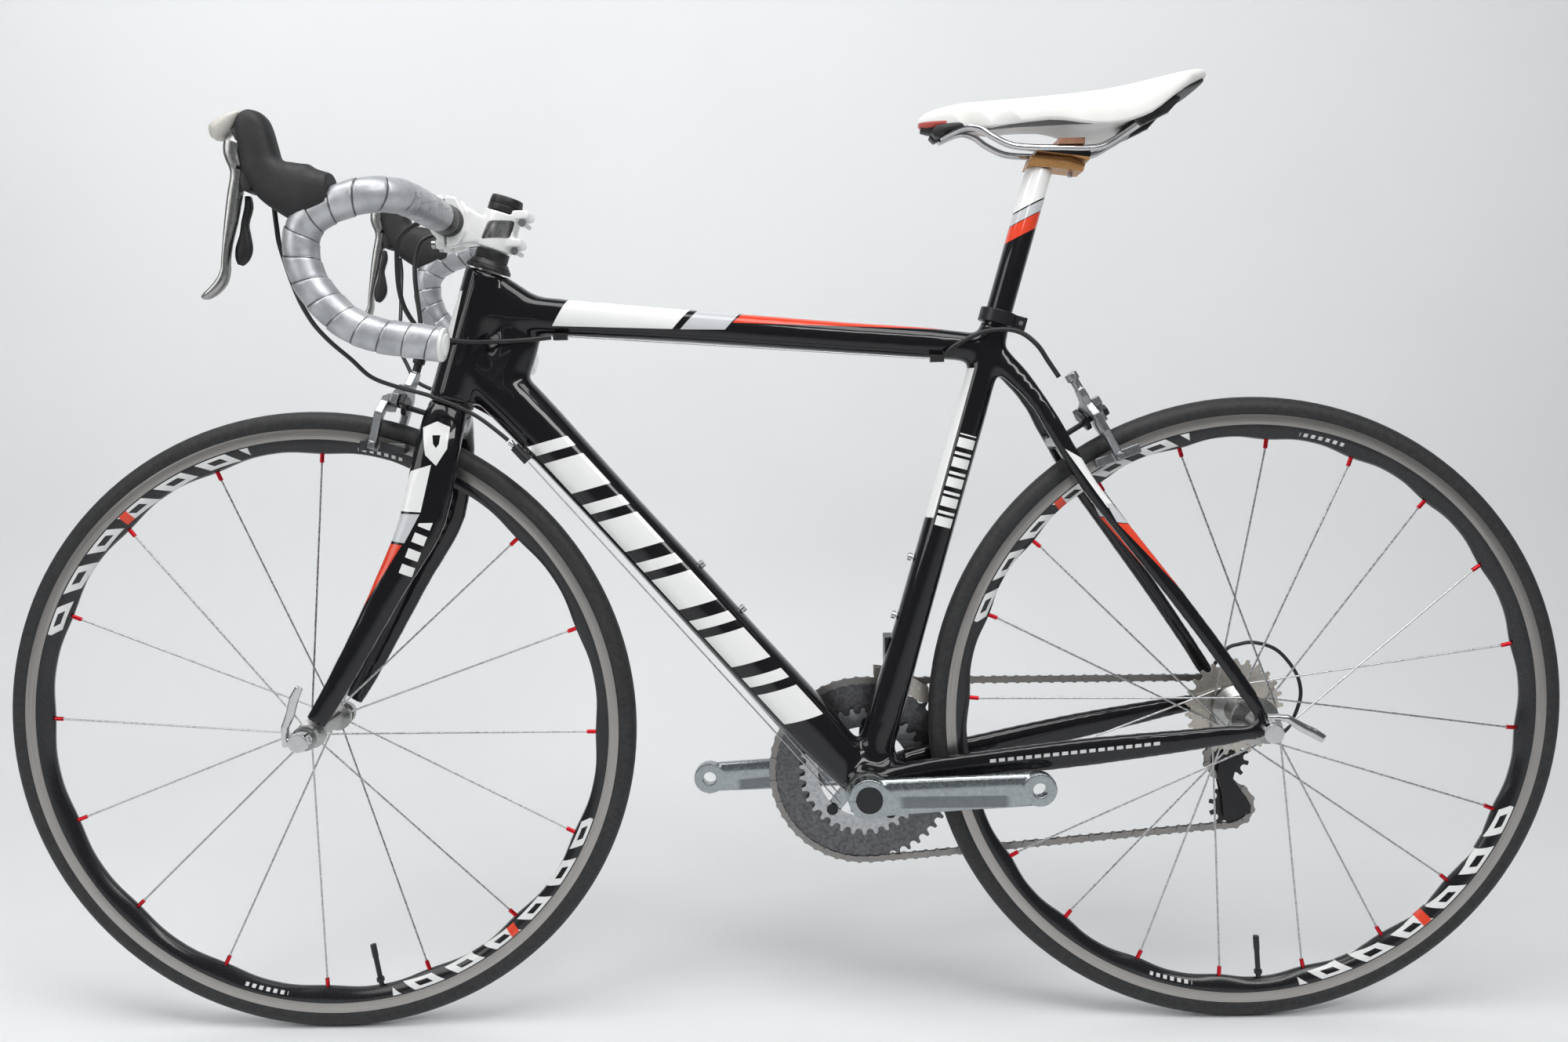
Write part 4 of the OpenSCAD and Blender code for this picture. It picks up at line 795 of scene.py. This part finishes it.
def tyre(name, centre):
    n = 20
    outline = []
    for k in range(n + 1):
        a = radians(-128 + 256 * k / n)
        r = 11.5 + (0.35 if abs(a) > radians(52) and abs(a) < radians(57) else 0)
        outline.append((322.5 + r * cos(a), r * sin(a)))
    inner = [(316.2, 7.6), (322.5, 8.4), (330.5, 3.0), (330.5, -3.0), (322.5, -8.4), (316.2, -7.6)]
    return turned(name, outline + inner, centre, 144, 40)


def rim(name, centre, spokes, first):
    """Deep rim with a machined track; the inner edge swells at every spoke."""
    half = 10.2
    profile = [(316, 8.2), (316, half), (315.2, half + 0.1), (306.5, half - 0.4), (305.6, half - 0.7),
               (303, half - 0.7),
               (299, half - 2.0), (295.2, half - 4.2), (292.6, 3.6), (291.6, 0), (292.6, -3.6), (295.2,
                       4.2 - half),
               (299, 2.0 - half), (303, 0.7 - half), (305.6, 0.7 - half), (306.5, 0.4 - half), (315.2,
                       -half - 0.1),
               (316, -half), (316, -8.2), (308, -8.2), (308, 8.2)]
    ob = turned(name, profile, centre, 240, 30)
    for v in ob.data.vertices:
        d = v.co - centre
        r, a = sqrt(d.x ** 2 + d.z ** 2) / MM, degrees(atan2(d.z, d.x))
        if r < 303.5:
            k = (a - first) / (360 / spokes)
            swell = 0.5 + 0.5 * cos(2 * pi * k)
            drop = (swell ** 1.6 * 3.4 - 1.6) * (303.5 - r) / 12
            s = (r - drop) / r
            v.co.x, v.co.z = centre.x + d.x * s, centre.z + d.z * s
    return ob


def make_wheels():
    rubber = tyre_rubber()
    for side, centre, spokes, first, valve in (("front", FRONT, 16, 2.2, 260.6),
                                               ("rear", REAR, 20, 4, 265.6)):
        body = side + "_wheel"
        t = tyre(side + "_tyre_carcass", centre)
        stand(t, body, rubber, "tyre_black", side + "_tyre")
        a = radians(valve)
        def out(r): return (centre.x / MM + r * cos(a), 0, centre.z / MM + r * sin(a))
        stem = together(side + "_valve_stem", [barrel("v", out(300), out(262), 2.7),
                                               barrel("v2", out(262), out(247), 3.2),
                                               barrel("v3", out(289), out(285), 4.2)])
        stand(stem, body, FIN["plastic"], "housing_black")
        hoop = rim(side + "_rim_hoop", centre, spokes, first)
        stand(hoop, body, wheel_radius_paint(side + "_rim_paint", centre), "rim_alloy", side + "_rim")
        dress(side + "_spokes", spoke_paint(side + "_spoke_steel", centre))
        dress(side + "_hub", FIN["satin"])


# ---------- cockpit ----------
BAR = [[331, 40, 858.5], [331, 60, 858.5], [331, 90, 858.5], [331, 128, 858.5], [335, 163, 858.5],
       [346, 179, 857.5],
       [360, 186, 855.5], [378, 187, 850.8], [394, 187, 844.5], [406, 187, 836.5], [413.5, 187, 826], [416,
               187.5, 812],
       [414.6, 188, 797.4], [407.7, 188.5, 779], [394, 189, 760.4], [377, 189.5, 744.7], [357.8, 190,
               735.6],
       [338, 190, 730.5], [315, 190, 727.3], [294.5, 190, 724]]


def wrapped_tape(name):
    """Tape wound round the bar: each turn laps the last, so the radius steps along a spiral."""
    run = through([[331, 57, 858.5], [331, 75, 858.5]] + BAR[2:], 24)
    ob = strand(name, run, 15.6, 1, 8, True)
    pts = [Vector(p) * MM for p in run]
    length, total = [0.0], 0.0
    for a, b in zip(pts, pts[1:]):
        total += (b - a).length
        length.append(total)
    tree = KDTree(len(pts))
    for i, p in enumerate(pts): tree.insert(p, i)
    tree.balance()
    uv = ob.data.uv_layers.get("wrap") or ob.data.uv_layers.new(name="wrap")
    place = {}
    for v in ob.data.vertices:
        _, i, _ = tree.find(v.co)
        t = (pts[min(i + 1, len(pts) - 1)] - pts[max(i - 1, 0)]).normalized()
        w = Vector((0, 1, 0)) - t.y * t
        side = w.normalized() if w.length > 0.2 else Vector((0, 0, 1))
        up = t.cross(side)
        if abs(t.y) > 0.97: side, up = Vector((1, 0, 0)), Vector((0, 0, 1))
        arm = v.co - pts[i]
        angle = atan2(arm.dot(up), arm.dot(side)) / (2 * pi)
        s = length[i] + (v.co - pts[i]).dot(t)
        turn = s / 0.021 + angle
        lap = turn - floor(turn)
        if arm.length > 0.01:
            lift = 0.0009 * (1 - lap) ** 0.8 - (0.0008 if lap < 0.045 or lap > 0.975 else 0)
            v.co += arm.normalized() * (lift - 0.0003)
        place[v.index] = (turn, s)
    for loop in ob.data.loops: uv.data[loop.index].uv = place[loop.vertex_index]
    return ob


def tape_finish():
    f = Finish("silver_tape", (0.5, 0.51, 0.53), metallic=0.55, rough=0.42)
    where = f.node("UVMap", uv_map="wrap")
    split = f.node("SeparateXYZ")
    f.join(where.outputs[0], split.inputs[0])
    lap = f.maths("FRACT", split.outputs[0])
    # Painted shade: the groove where each turn laps the last is painted near black.
    painted_groove_shade = f.maths("MAXIMUM", f.flip(f.over(lap, 0.045, 0.03)), f.over(lap, 0.975, 0.02))
    cloudy = f.blend(f.span(f.grain(38, 5), 0.35, 0.68, 0, 1), (0.37, 0.38, 0.4), (0.6, 0.61, 0.63))
    f.colour(f.blend(f.times(painted_groove_shade, 0.85), cloudy, (0.05, 0.05, 0.05)))
    f.rough(0.34, 0.5, 300)
    f.bumps(f.grain(900, 4), 0.22, 0.0004)
    return f


def hood_shell(name):
    y = HOOD_Y
    body = limb(name, [[386, y, 856.5, 18.5, 16.8], [398, y, 856.5, 22, 17.6], [410, y, 857.5, 26, 17.8],
                       [424, y - 0.5, 862.5, 23.5, 17], [437, y - 1, 869.5, 20.5, 16.2], [446, y - 1, 881,
                               17.5, 15.6],
                       [449, y - 1, 896, 16, 15.2], [452, y - 1, 910, 15.6, 15], [454.5, y - 1, 920, 14,
                               14],
                       [456, y - 1, 927, 9, 11], [456.5, y - 1, 930, 3, 6]], 28, 2.5, 3)
    fuse(body, 1.5, 3)
    smooth(body, 180)
    return body


def hood_front(name):
    """Dark face below the hood's lip that carries the lever."""
    y = HOOD_Y
    face = slab(name, [(457, 858), (463.5, 861), (464, 869), (461.5, 884), (464, 897), (470, 913),
                       (462, 918), (452, 905),
                       (450, 870)], y - 9.5, y + 8.5, 1.5, 3)
    return face


def name_cap(name):
    y = HOOD_Y
    cap = limb(name, [[462, y - 0.5, 927.5, 2.2, 9], [467, y - 0.5, 924, 4.2, 12.5],
                      [474, y - 0.5, 919, 6.5, 13.2],
                      [482, y - 0.5, 914, 8, 12.2], [487, y - 0.5, 911.5, 7.5, 9.5], [490, y - 0.5, 910.5,
                              4, 5]], 24, 2.6, 3)
    smooth(cap, 180)
    return cap


def lever_blade(name, s=1):
    """Alloy lever: broad at the pivot, slim in the middle, turned forward at the tip."""
    y = HOOD_Y
    blade = limb(name, [[469, y, 904, 9, 9.5], [471, y, 893, 8.2, 9], [467.8, y, 877, 6.4, 7.5],
                        [472, y, 858, 6, 6.6],
                        [476.5, y, 836, 5.4, 6.2], [481, y, 815, 3.6, 6], [483.2, y, 801, 3.2, 6], [484, y,
                                792, 3.6, 6.2],
                        [488, y, 782.5, 4.4, 6.6], [495, y, 775, 4.2, 6.4], [501.5, y, 770.6, 3.4, 5.4],
                        [505.6, y, 768.8, 1.6, 3]], 20, 2.6, 3)
    smooth(blade, 180)
    return blade


def paddle(name):
    y = HOOD_Y - 6
    return limb(name, [[463.2, y, 857, 2.4, 4], [463, y, 848, 3.4, 4.4], [467, y, 834, 3, 4.4],
                       [467.5, y, 824, 4.6, 4.6],
                       [469, y, 812, 7.4, 4.6], [471.5, y, 803, 6, 4.2], [473.4, y, 797.5, 2.4,
                               2.6]], 20, 2.6, 3)


def make_cockpit():
    tape = tape_finish()
    stand(pair(wrapped_tape, "wound_tape"), "steering", tape, "tape_silver", "bar_tape")
    def plug(name):
        return together(name, [barrel("p1", (295.3, 190, 724.1), (291.3, 190, 723.5), 15.2, edge=1),
                               barrel("p2", (291.4, 190, 723.5), (289.6, 190, 723.2), 11, 9.5, edge=0.6)])
    stand(pair(plug, "bar_plugs"), "steering", FIN["white"], "alloy_white")
    bar = together("bare_bar", [barrel("b1", (331, -33, 858.5), (331, 33, 858.5), 15.8),
                                barrel("b2", (331, 33, 858.5), (331, 60, 858.5), 15.8, 12.4),
                                barrel("b3", (331, -60, 858.5), (331, -33, 858.5), 12.4, 15.8)])
    stand(bar, "steering", FIN["black_alloy"], "alloy_black", "handlebar")
    hoods = pair(hood_shell, "hood_covers")
    stand(hoods, "steering", FIN["rubber"], "hood_rubber", "lever_hoods")
    stand(pair(hood_front, "hood_faces"), "steering", FIN["plastic"], "hood_rubber")
    cap = plastic("cap_black", (0.014, 0.014, 0.015), 0.25)
    cream = cap.over(cap.axis((0.45, 0, 0.89), -1034.5), 0, 0.8)
    cap.colour(cap.blend(cream, (0.014, 0.014, 0.015), (0.62, 0.6, 0.55)))
    for sd, s in (("left", 1), ("right", -1)):
        blade = lever_blade("blade_" + sd)
        crown = name_cap("cap_" + sd)
        swing = paddle("shift_blade_" + sd)
        if s < 0:
            for piece in (blade, crown, swing):
                pick(piece)
                mode("EDIT")
                bpy.ops.mesh.select_all(action="SELECT")
                bpy.ops.transform.mirror(constraint_axis=(False, True, False), orient_type="GLOBAL",
                                         center_override=(0, 0, 0))
                bpy.ops.mesh.normals_make_consistent(inside=False)
                mode("OBJECT")
        stand(blade, "brake_lever_" + sd, FIN["satin"], "alloy_satin", "lever_" + sd)
        stand(crown, "brake_lever_" + sd, cap, "alloy_satin")
        smooth(swing, 180)
        stand(swing, "shift_paddle_" + sd, FIN["plastic"], "housing_black", "paddle_" + sd)


def stem_body():
    """Forged stem: two clamps and a slim waist melted into one skin."""
    parts = [barrel("s1", up_steer(831.5, 0), up_steer(831.5, 38), 19.3, edge=0),
             slab("s2", [(330, 840), (330, 877), (322, 880), (300, 866), (270, 862), (266, 838),
                         (300, 838), (322, 836)],
                  -14, 14, 3, 3)]
    for z in (836.5, 864.5):
        x = steer_at(z)
        parts.append(slab("s3", [(x - 12, z - 5), (x - 29, z - 5), (x - 31, z), (x - 29, z + 5),
                                 (x - 12, z + 5)],
                          -14.5, 14.5, 2, 2))
    for s in (-14, 14):
        parts.append(slab("s4", [(334, 832), (334, 885), (322, 883), (314, 868), (314, 848), (322, 834)],
                          s - 6.5, s + 6.5, 2, 2))
    ob = together("stem_body", parts)
    face_out(ob)
    fuse(ob, 1.2, 4)
    cut(ob, barrel("c", (331, -40, 858.5), (331, 40, 858.5), 15.95, edge=0, sides=64))
    cut(ob, barrel("c", up_steer(825, 0), up_steer(825, 60), 14.35, edge=0, sides=48))
    win = slab("c", [(steer_at(841) + 13, 841), (steer_at(841) - 17, 841), (steer_at(858) - 17, 859),
                     (steer_at(858) + 9, 859)],
               -30, 30, 3, 3)
    cut(ob, win)
    smooth(ob, 40)
    return ob


def faceplate():
    parts = []
    for s in (-14, 14):
        parts.append(barrel("f1", (331, s - 6.5, 858.5), (331, s + 6.5, 858.5), 21, edge=1.2, sides=64))
        for z in (836.5, 880.5):
            parts.append(barrel("f2", (336, s, z), (345.5, s, z), 5.2, edge=1))
    ob = together("stem_front_plate", parts)
    face_out(ob)
    fuse(ob, 1.1, 3)
    cut(ob, barrel("c", (331, -40, 858.5), (331, 40, 858.5), 15.95, edge=0, sides=64))
    cut(ob, slab("c", [(336.0, 900), (200, 900), (200, 800), (336.0, 800)], -50, 50, 0))
    smooth(ob, 40)
    return ob


def headset():
    parts = [barrel("h1", up_steer(673.3, 0), up_steer(673.3, 3.2), 22.2),
             barrel("h2", up_steer(810.8, 0), up_steer(810.8, 4.2), 23.2, 22.4),
             barrel("h3", up_steer(815.2, 0), up_steer(815.2, 5.6), 21.5, 17.6), barrel("h4",
                     up_steer(821, 0), up_steer(821, 9.6), 17),
             barrel("h5", up_steer(869, 0), up_steer(869, 6.8), 17.2), barrel("h6", up_steer(875.6, 0),
                     up_steer(875.6, 8.6), 17.2, 16, edge=1.5)]
    return together("headset_covers", parts)


# ---------- cables ----------
GEAR = [[443.1, 175, 848], [441.9, 175, 832], [441.4, 170, 813.5], [437.6, 150, 776.3], [433.3, 128, 752],
        [425.2, 108, 734.6],
        [412.1, 88, 717.6], [398.8, 72, 700.8], [378, 58, 691], [351.9, 46, 682.8], [331.7, 40,
                674.5], [316.8, 37, 667.2],
        [301.6, 35, 657.9], [286.2, 33, 645.4], [275, 31.7, 635.5]]
REAR_BRAKE = [[344, 77, 848], [355.9, 75, 842], [367, 70, 830.6], [371.5, 62, 810.4], [373.7, 52, 788.1],
              [370.8, 45, 769],
              [361, 38, 751], [348, 32, 741.5], [335.9, 29, 738.7], [320.9, 27.5, 736.9], [304.6, 27,
                      735.7],
              [264.1, 24.5, 736.6], [230, 19.7, 739.8]]
FRONT_BRAKE = [[347, -60, 851], [364, -55, 856], [379, -49, 849], [385.5, -46, 832], [386, -42, 812],
               [383.5, -38, 790],
               [379.5, -33, 762], [379, -28, 738.5], [379, -25, 725.8]]
BRAKE_TAIL = [[-173.4, 19.6, 715], [-179.4, 21.5, 722], [-197.8, 22.5, 732.5], [-214.5, 22.5, 738.7],
              [-236.3, 23, 740.1],
              [-252.4, 24, 735.2], [-266.7, 25, 723], [-277.3, 25, 707.3], [-288.3, 25, 691]]
MECH_LOOP = [[-455, -78, 318], [-478, -84, 352], [-500.1, -84, 384], [-515.9, -84, 391],
             [-533.8, -84, 392.5],
             [-557.8, -83, 384], [-577, -82, 362], [-584, -80, 342], [-582, -78, 323], [-570, -76,
                     297], [-556, -75, 286]]


def make_cables():
    near = strand("near_gear_housing", GEAR, 2.2)
    run = together("bar_to_frame_housings", [near, other_side(near),
                                             strand("rear_brake_housing", REAR_BRAKE, 2.5)])
    stand(run, "steering", FIN["housing"], "housing_black", "bar_housings")
    stand(strand("front_brake_cable", FRONT_BRAKE, 2.5), "steering", FIN["housing"], "housing_black",
          "front_brake_housing")
    tails = together("tail_housings", [strand("t1", BRAKE_TAIL, 2.5), strand("t2", MECH_LOOP, 2.1)])
    stand(tails, "frame", FIN["housing"], "housing_black", "frame_housings")
    dress("bare_wires", FIN["steel"])
    barrel_near = barrel("adjuster", (273.4, 31.5, 634), (269.1, 31, 629.2), 3.1, 2.6, edge=0.4)
    stand(together("adjuster_barrels", [barrel_near, other_side(barrel_near)]), "frame", FIN["bright"],
          "alloy_satin")


# ---------- saddle ----------
def saddle_leather():
    f = Finish("saddle_cover", WHITE, rough=0.42, Sheen_Weight=0.1)
    x, z = f.axis((1, 0, 0)), f.axis((0, 0, 1))
    side = f.side()
    pale = f.blend(f.span(f.grain(26, 5), 0.35, 0.7, 0, 1), (0.8, 0.79, 0.76), (0.87, 0.865, 0.85))
    top = f.minus(z, f.times(f.maths("MAXIMUM", f.times(f.plus(x, 300.0), -1.0), 0.0), 0.16))
    stripe = f.both(f.over(x, -300, 6), f.over(top, 966.5, 0.8), f.flip(f.over(side, 9, 1)))
    nose = f.both(f.over(x, -176, 1.5), f.flip(f.over(z, 950, 1.2)))
    c = f.blend(f.either(stripe, nose), pale, (0.62, 0.1, 0.08))
    f.colour(c)
    f.rough(0.36, 0.5, 120)
    f.bumps(f.grain(1300, 5), 0.16, 0.0003)
    return f


def saddle_cover():
    ob = limb("saddle_cover", [[-149, 0, 949.5, 3, 6], [-154, 0, 951, 7, 12], [-166, 0, 954, 9.6, 16],
                               [-190, 0, 958.6, 10.6, 19],
                               [-220, 0, 961, 10.8, 22.5], [-250, 0, 962, 11, 28], [-290, 0, 963.4, 11.4,
                                       38],
                               [-330, 0, 965.6, 11.6, 52], [-360, 0, 969.4, 11.4, 62], [-385, 0, 974.6,
                                       10.4, 67],
                               [-408, 0, 980.4, 8.6, 63], [-424, 0, 984.6, 6, 50], [-430.5, 0, 986.4, 3,
                                       34]], 32, 2.8, 3)
    middle = [(-149, 949.5), (-190, 958.6), (-220, 961), (-290, 963.4), (-330, 965.6), (-360, 969.4),
              (-385, 974.6), (-408, 980.4), (-431, 986.4)]
    for v in ob.data.vertices:
        x, y, z = v.co / MM
        wide = 20 + 47 * max(0, min(1, (-x - 220) / 160))
        edge = min(1, abs(y) / wide)
        height = next((b + (a - b) * (x - q) / (p - q) for (p, a),
                       (q, b) in zip(middle, middle[1:]) if q <= x <= p), 986)
        # The top is crowned with a shallow channel; the flanks hang lowest below the rear rails
        drop = 6 * edge ** 2.4 * max(0, 1 - abs((x + 290) / 130) ** 2)
        if z < height:
            nose = max(0, min(1, (-x - 156) / 30)) * max(0, min(1, (x + 424) / 50))
            drop += edge ** 2.2 * nose * (9 + 13 * max(0, 1 - abs((x + 345) / 62) ** 2))
        channel = 1.6 * max(0, 1 - (abs(y) / 9) ** 2) * max(0,
                                                            min(1, (-x - 200) / 40)) * (1 if z > 962 else 0)
        v.co.z -= (drop + channel) * MM
    smooth(ob, 180)
    return ob


def saddle_shell():
    ob = limb("saddle_shell", [[-151, 0, 944.5, 3, 6], [-166, 0, 944.2, 5, 11], [-200, 0, 948, 5.2, 13],
                               [-250, 0, 952, 4, 17], [-300, 0, 954, 3.4, 26], [-340, 0, 956.5, 4, 40],
                               [-375, 0, 963, 4.2, 53], [-405, 0, 970.5, 4.2, 55], [-424, 0, 978.5, 3,
                                       46]], 28, 3, 3)
    smooth(ob, 180)
    return ob


def rail_clips(name):
    return together(name, [slab("k1", [(-366, 937), (-392, 949), (-405, 963), (-396, 966), (-372, 957),
                                       (-360, 945)], 29, 42, 2, 3),
                           slab("k2", [(-166, 933), (-178, 941), (-196, 944), (-192, 949), (-166, 946),
                                       (-160, 939)], 4, 19, 2, 3)])


def make_saddle():
    cover = stand(saddle_cover(), "frame", saddle_leather(), "saddle_white", "saddle_pad")
    stand(saddle_shell(), "frame", FIN["plastic"], "saddle_shell", "saddle_base")
    stand(pair(rail_clips, "saddle_clips"), "frame", FIN["plastic"], "saddle_shell")
    rail = [[-170, 9, 934], [-192, 14, 943], [-208, 20, 941], [-222, 22, 932], [-240, 22, 923.5],
            [-262, 22, 920.8], [-290, 22, 920],
            [-318, 22, 919.3], [-334, 22, 922], [-352, 25, 932], [-372, 32, 944], [-392, 36, 952]]
    def one(name): return strand(name, rail, 3.5, 6, 4)
    stand(pair(one, "saddle_wires"), "frame", FIN["bright"], "steel_polished", "saddle_rails")


# ---------- forged and cast metal parts: the CAD shape with its edges melted round ----------
def forged(name, body, finish, slot_name, voxel=0.8, passes=3, power=0.5):
    pick(nodes[name])
    bpy.ops.object.duplicate()
    ob = bpy.context.object
    if ob.data.users > 1: ob.data = ob.data.copy()
    ob.parent = None
    ob.matrix_world = Matrix.Identity(4)
    ob.name = ob.data.name = name + "_forged"
    ob.data.materials.clear()
    face_out(ob)
    fuse(ob, voxel, passes, power)
    smooth(ob, 180)
    return stand(ob, body, finish, slot_name, name)


def caliper_finish(name, pivot, up):
    """Silver arms, black brake pads and a black cable adjuster."""
    f = Finish(name, (0.47, 0.49, 0.51), metallic=1.0, rough=0.32)
    p = Vector(pivot)
    lift = f.axis(up, Vector(up).dot(p) * 1000)
    side = f.side()
    pad = f.both(f.flip(f.over(lift, -39.2)), f.flip(f.over(side, 20.2)))
    black = f.either(pad, f.over(lift, 37.5))
    grain = f.flecks(240)
    silver = f.blend(grain, (0.29, 0.3, 0.31), (0.35, 0.36, 0.37))
    f.colour(f.blend(black, silver, (0.014, 0.014, 0.015)))
    f.join(f.flip(black), f.face.inputs["Metallic"])
    f.join(f.span(f.grain(400), 0.3, 0.7, 0.27, 0.42), f.face.inputs["Roughness"])
    f.bumps(f.grain(1500), 0.02, 0.0002)
    return f


def crank_finish():
    """Silver anodised arm; a facet along its lower edge is darkened with painted shade."""
    f = Finish("crank_alloy_two_tone", (0.5, 0.53, 0.55), metallic=1.0, rough=0.27)
    a = radians(3.9)
    below = f.axis((sin(a), 0, cos(a)), Vector((sin(a), 0, cos(a))).dot(BOTTOM) * 1000)
    along = f.maths("ABSOLUTE", f.axis((cos(a), 0, -sin(a)),
                                       Vector((cos(a), 0, -sin(a))).dot(BOTTOM) * 1000))
    edge = f.times(along, -0.045)
    # Painted shade: the band along the arm's lower facet is painted dark grey.
    dark = f.both(f.band(f.minus(below, edge), -9.5, 3.0, 1.2), f.band(along, 32, 140, 6))
    grain = f.flecks(200)
    pale = f.blend(grain, (0.33, 0.36, 0.37), (0.38, 0.41, 0.42))
    f.colour(f.blend(f.times(dark, 0.8), pale, (0.13, 0.14, 0.15)))
    f.rough(0.2, 0.33, 300)
    f.bumps(f.grain(1500), 0.015, 0.0002)
    return f


def make_brakes():
    front = caliper_finish("front_caliper", (0.391, 0, 0.672), (-cos(HEAD_ANGLE), 0, sin(HEAD_ANGLE)))
    rear = caliper_finish("rear_caliper", (-0.324, 0, 0.646), (-sin(radians(31.2)), 0, cos(radians(31.2))))
    forged("front_arm_left", "front_arm_left", front, "alloy_satin")
    forged("front_arm_right", "front_arm_right", front, "alloy_satin")
    forged("rear_arm_left", "rear_arm_left", rear, "alloy_satin")
    forged("rear_arm_right", "rear_arm_right", rear, "alloy_satin")
    forged("front_brake_mount", "steering", FIN["black_alloy"], "alloy_satin")
    forged("rear_brake_mount", "frame", FIN["black_alloy"], "alloy_satin")


def make_drive():
    crank = crank_finish()
    forged("crank_arm_left", "crankset", crank, "alloy_satin", 1.0, 9)
    forged("crank_arm_right", "crankset", crank, "alloy_satin", 1.0, 8)
    for name, body in (("mech_knuckle", "frame"), ("mech_link", "mech_link"), ("mech_lower", "mech_lower"),
                       ("mech_cage", "mech_cage")):
        forged(name, body, FIN["black_alloy"], "alloy_black", 0.7, 3)
    for name, body in (("front_axle", "steering"), ("rear_axle", "frame"), ("front_qr_lever", "front_qr"),
                       ("rear_qr_lever", "rear_qr")):
        forged(name, body, FIN["bright"], "steel_polished", 0.7, 4)
    forged("seat_clamp", "frame", FIN["black_alloy"], "alloy_black", 0.7, 3)
    forged("fd_mount", "frame", FIN["black_alloy"], "alloy_satin", 0.8, 3)


# ---------- everything else keeps its CAD shape ----------
def head_finish():
    """Bronze casting, black cradle and copper plate, by height."""
    f = Finish("seatpost_head_metal", (0.42, 0.22, 0.09), metallic=0.9, rough=0.36)
    z, x = f.axis((0, 0, 1)), f.axis((1, 0, 0))
    lift = f.plus(z, f.times(f.plus(x, 266.0), -0.13))
    grain = f.span(f.grain(500), 0.3, 0.7, 0, 1)
    bronze = f.blend(grain, (0.36, 0.18, 0.06), (0.5, 0.28, 0.12))
    c = f.blend(f.over(lift, 917.3), bronze, (0.012, 0.012, 0.013))
    c = f.blend(f.over(z, 922.8), c, f.blend(grain, (0.36, 0.18, 0.12), (0.46, 0.25, 0.16)))
    f.colour(c)
    f.rough(0.3, 0.44, 300)
    f.bumps(f.grain(1500), 0.1, 0.0002)
    return f


def ring_finish():
    f = Finish("chainring_alloy", (0.2, 0.2, 0.21), metallic=0.9, rough=0.36)
    inner = f.over(f.across(), -43)
    grain = f.flecks(260)
    outer = f.blend(grain, (0.1, 0.1, 0.105), (0.17, 0.17, 0.175))
    small = f.blend(grain, (0.4, 0.41, 0.42), (0.55, 0.56, 0.57))
    f.colour(f.blend(inner, outer, small))
    f.rough(0.28, 0.44, 300)
    f.bumps(f.grain(1500), 0.08, 0.0002)
    return f


def dress_the_rest():
    for name in ("rear_dropouts", "fork_inserts", "bearing_cups"): dress(name, FIN["satin"])
    for name in ("guide_pulley", "tension_pulley", "cable_stops"): dress(name, FIN["plastic"])
    for name in ("frame_bolts", "cockpit_bolts"): dress(name, FIN["steel"])
    dress("crank_bolts", FIN["black_alloy"])
    dress("fd_cage", FIN["cog"])
    dress("cassette", FIN["cog"])
    dress("chain", FIN["chain"])
    dress("chainrings", ring_finish())
    dress("seatpost_head", head_finish())


idle()
camera()
studio()
finishes()
make_frame()
make_fork()
make_wheels()
make_cockpit()
stand(stem_body(), "steering", FIN["white"], "alloy_white", "stem")
stand(faceplate(), "steering", FIN["white"], "alloy_white", "stem_faceplate")
stand(headset(), "steering", FIN["plastic"], "alloy_black", "headset_stack")
make_cables()
make_saddle()
make_brakes()
make_drive()
dress_the_rest()
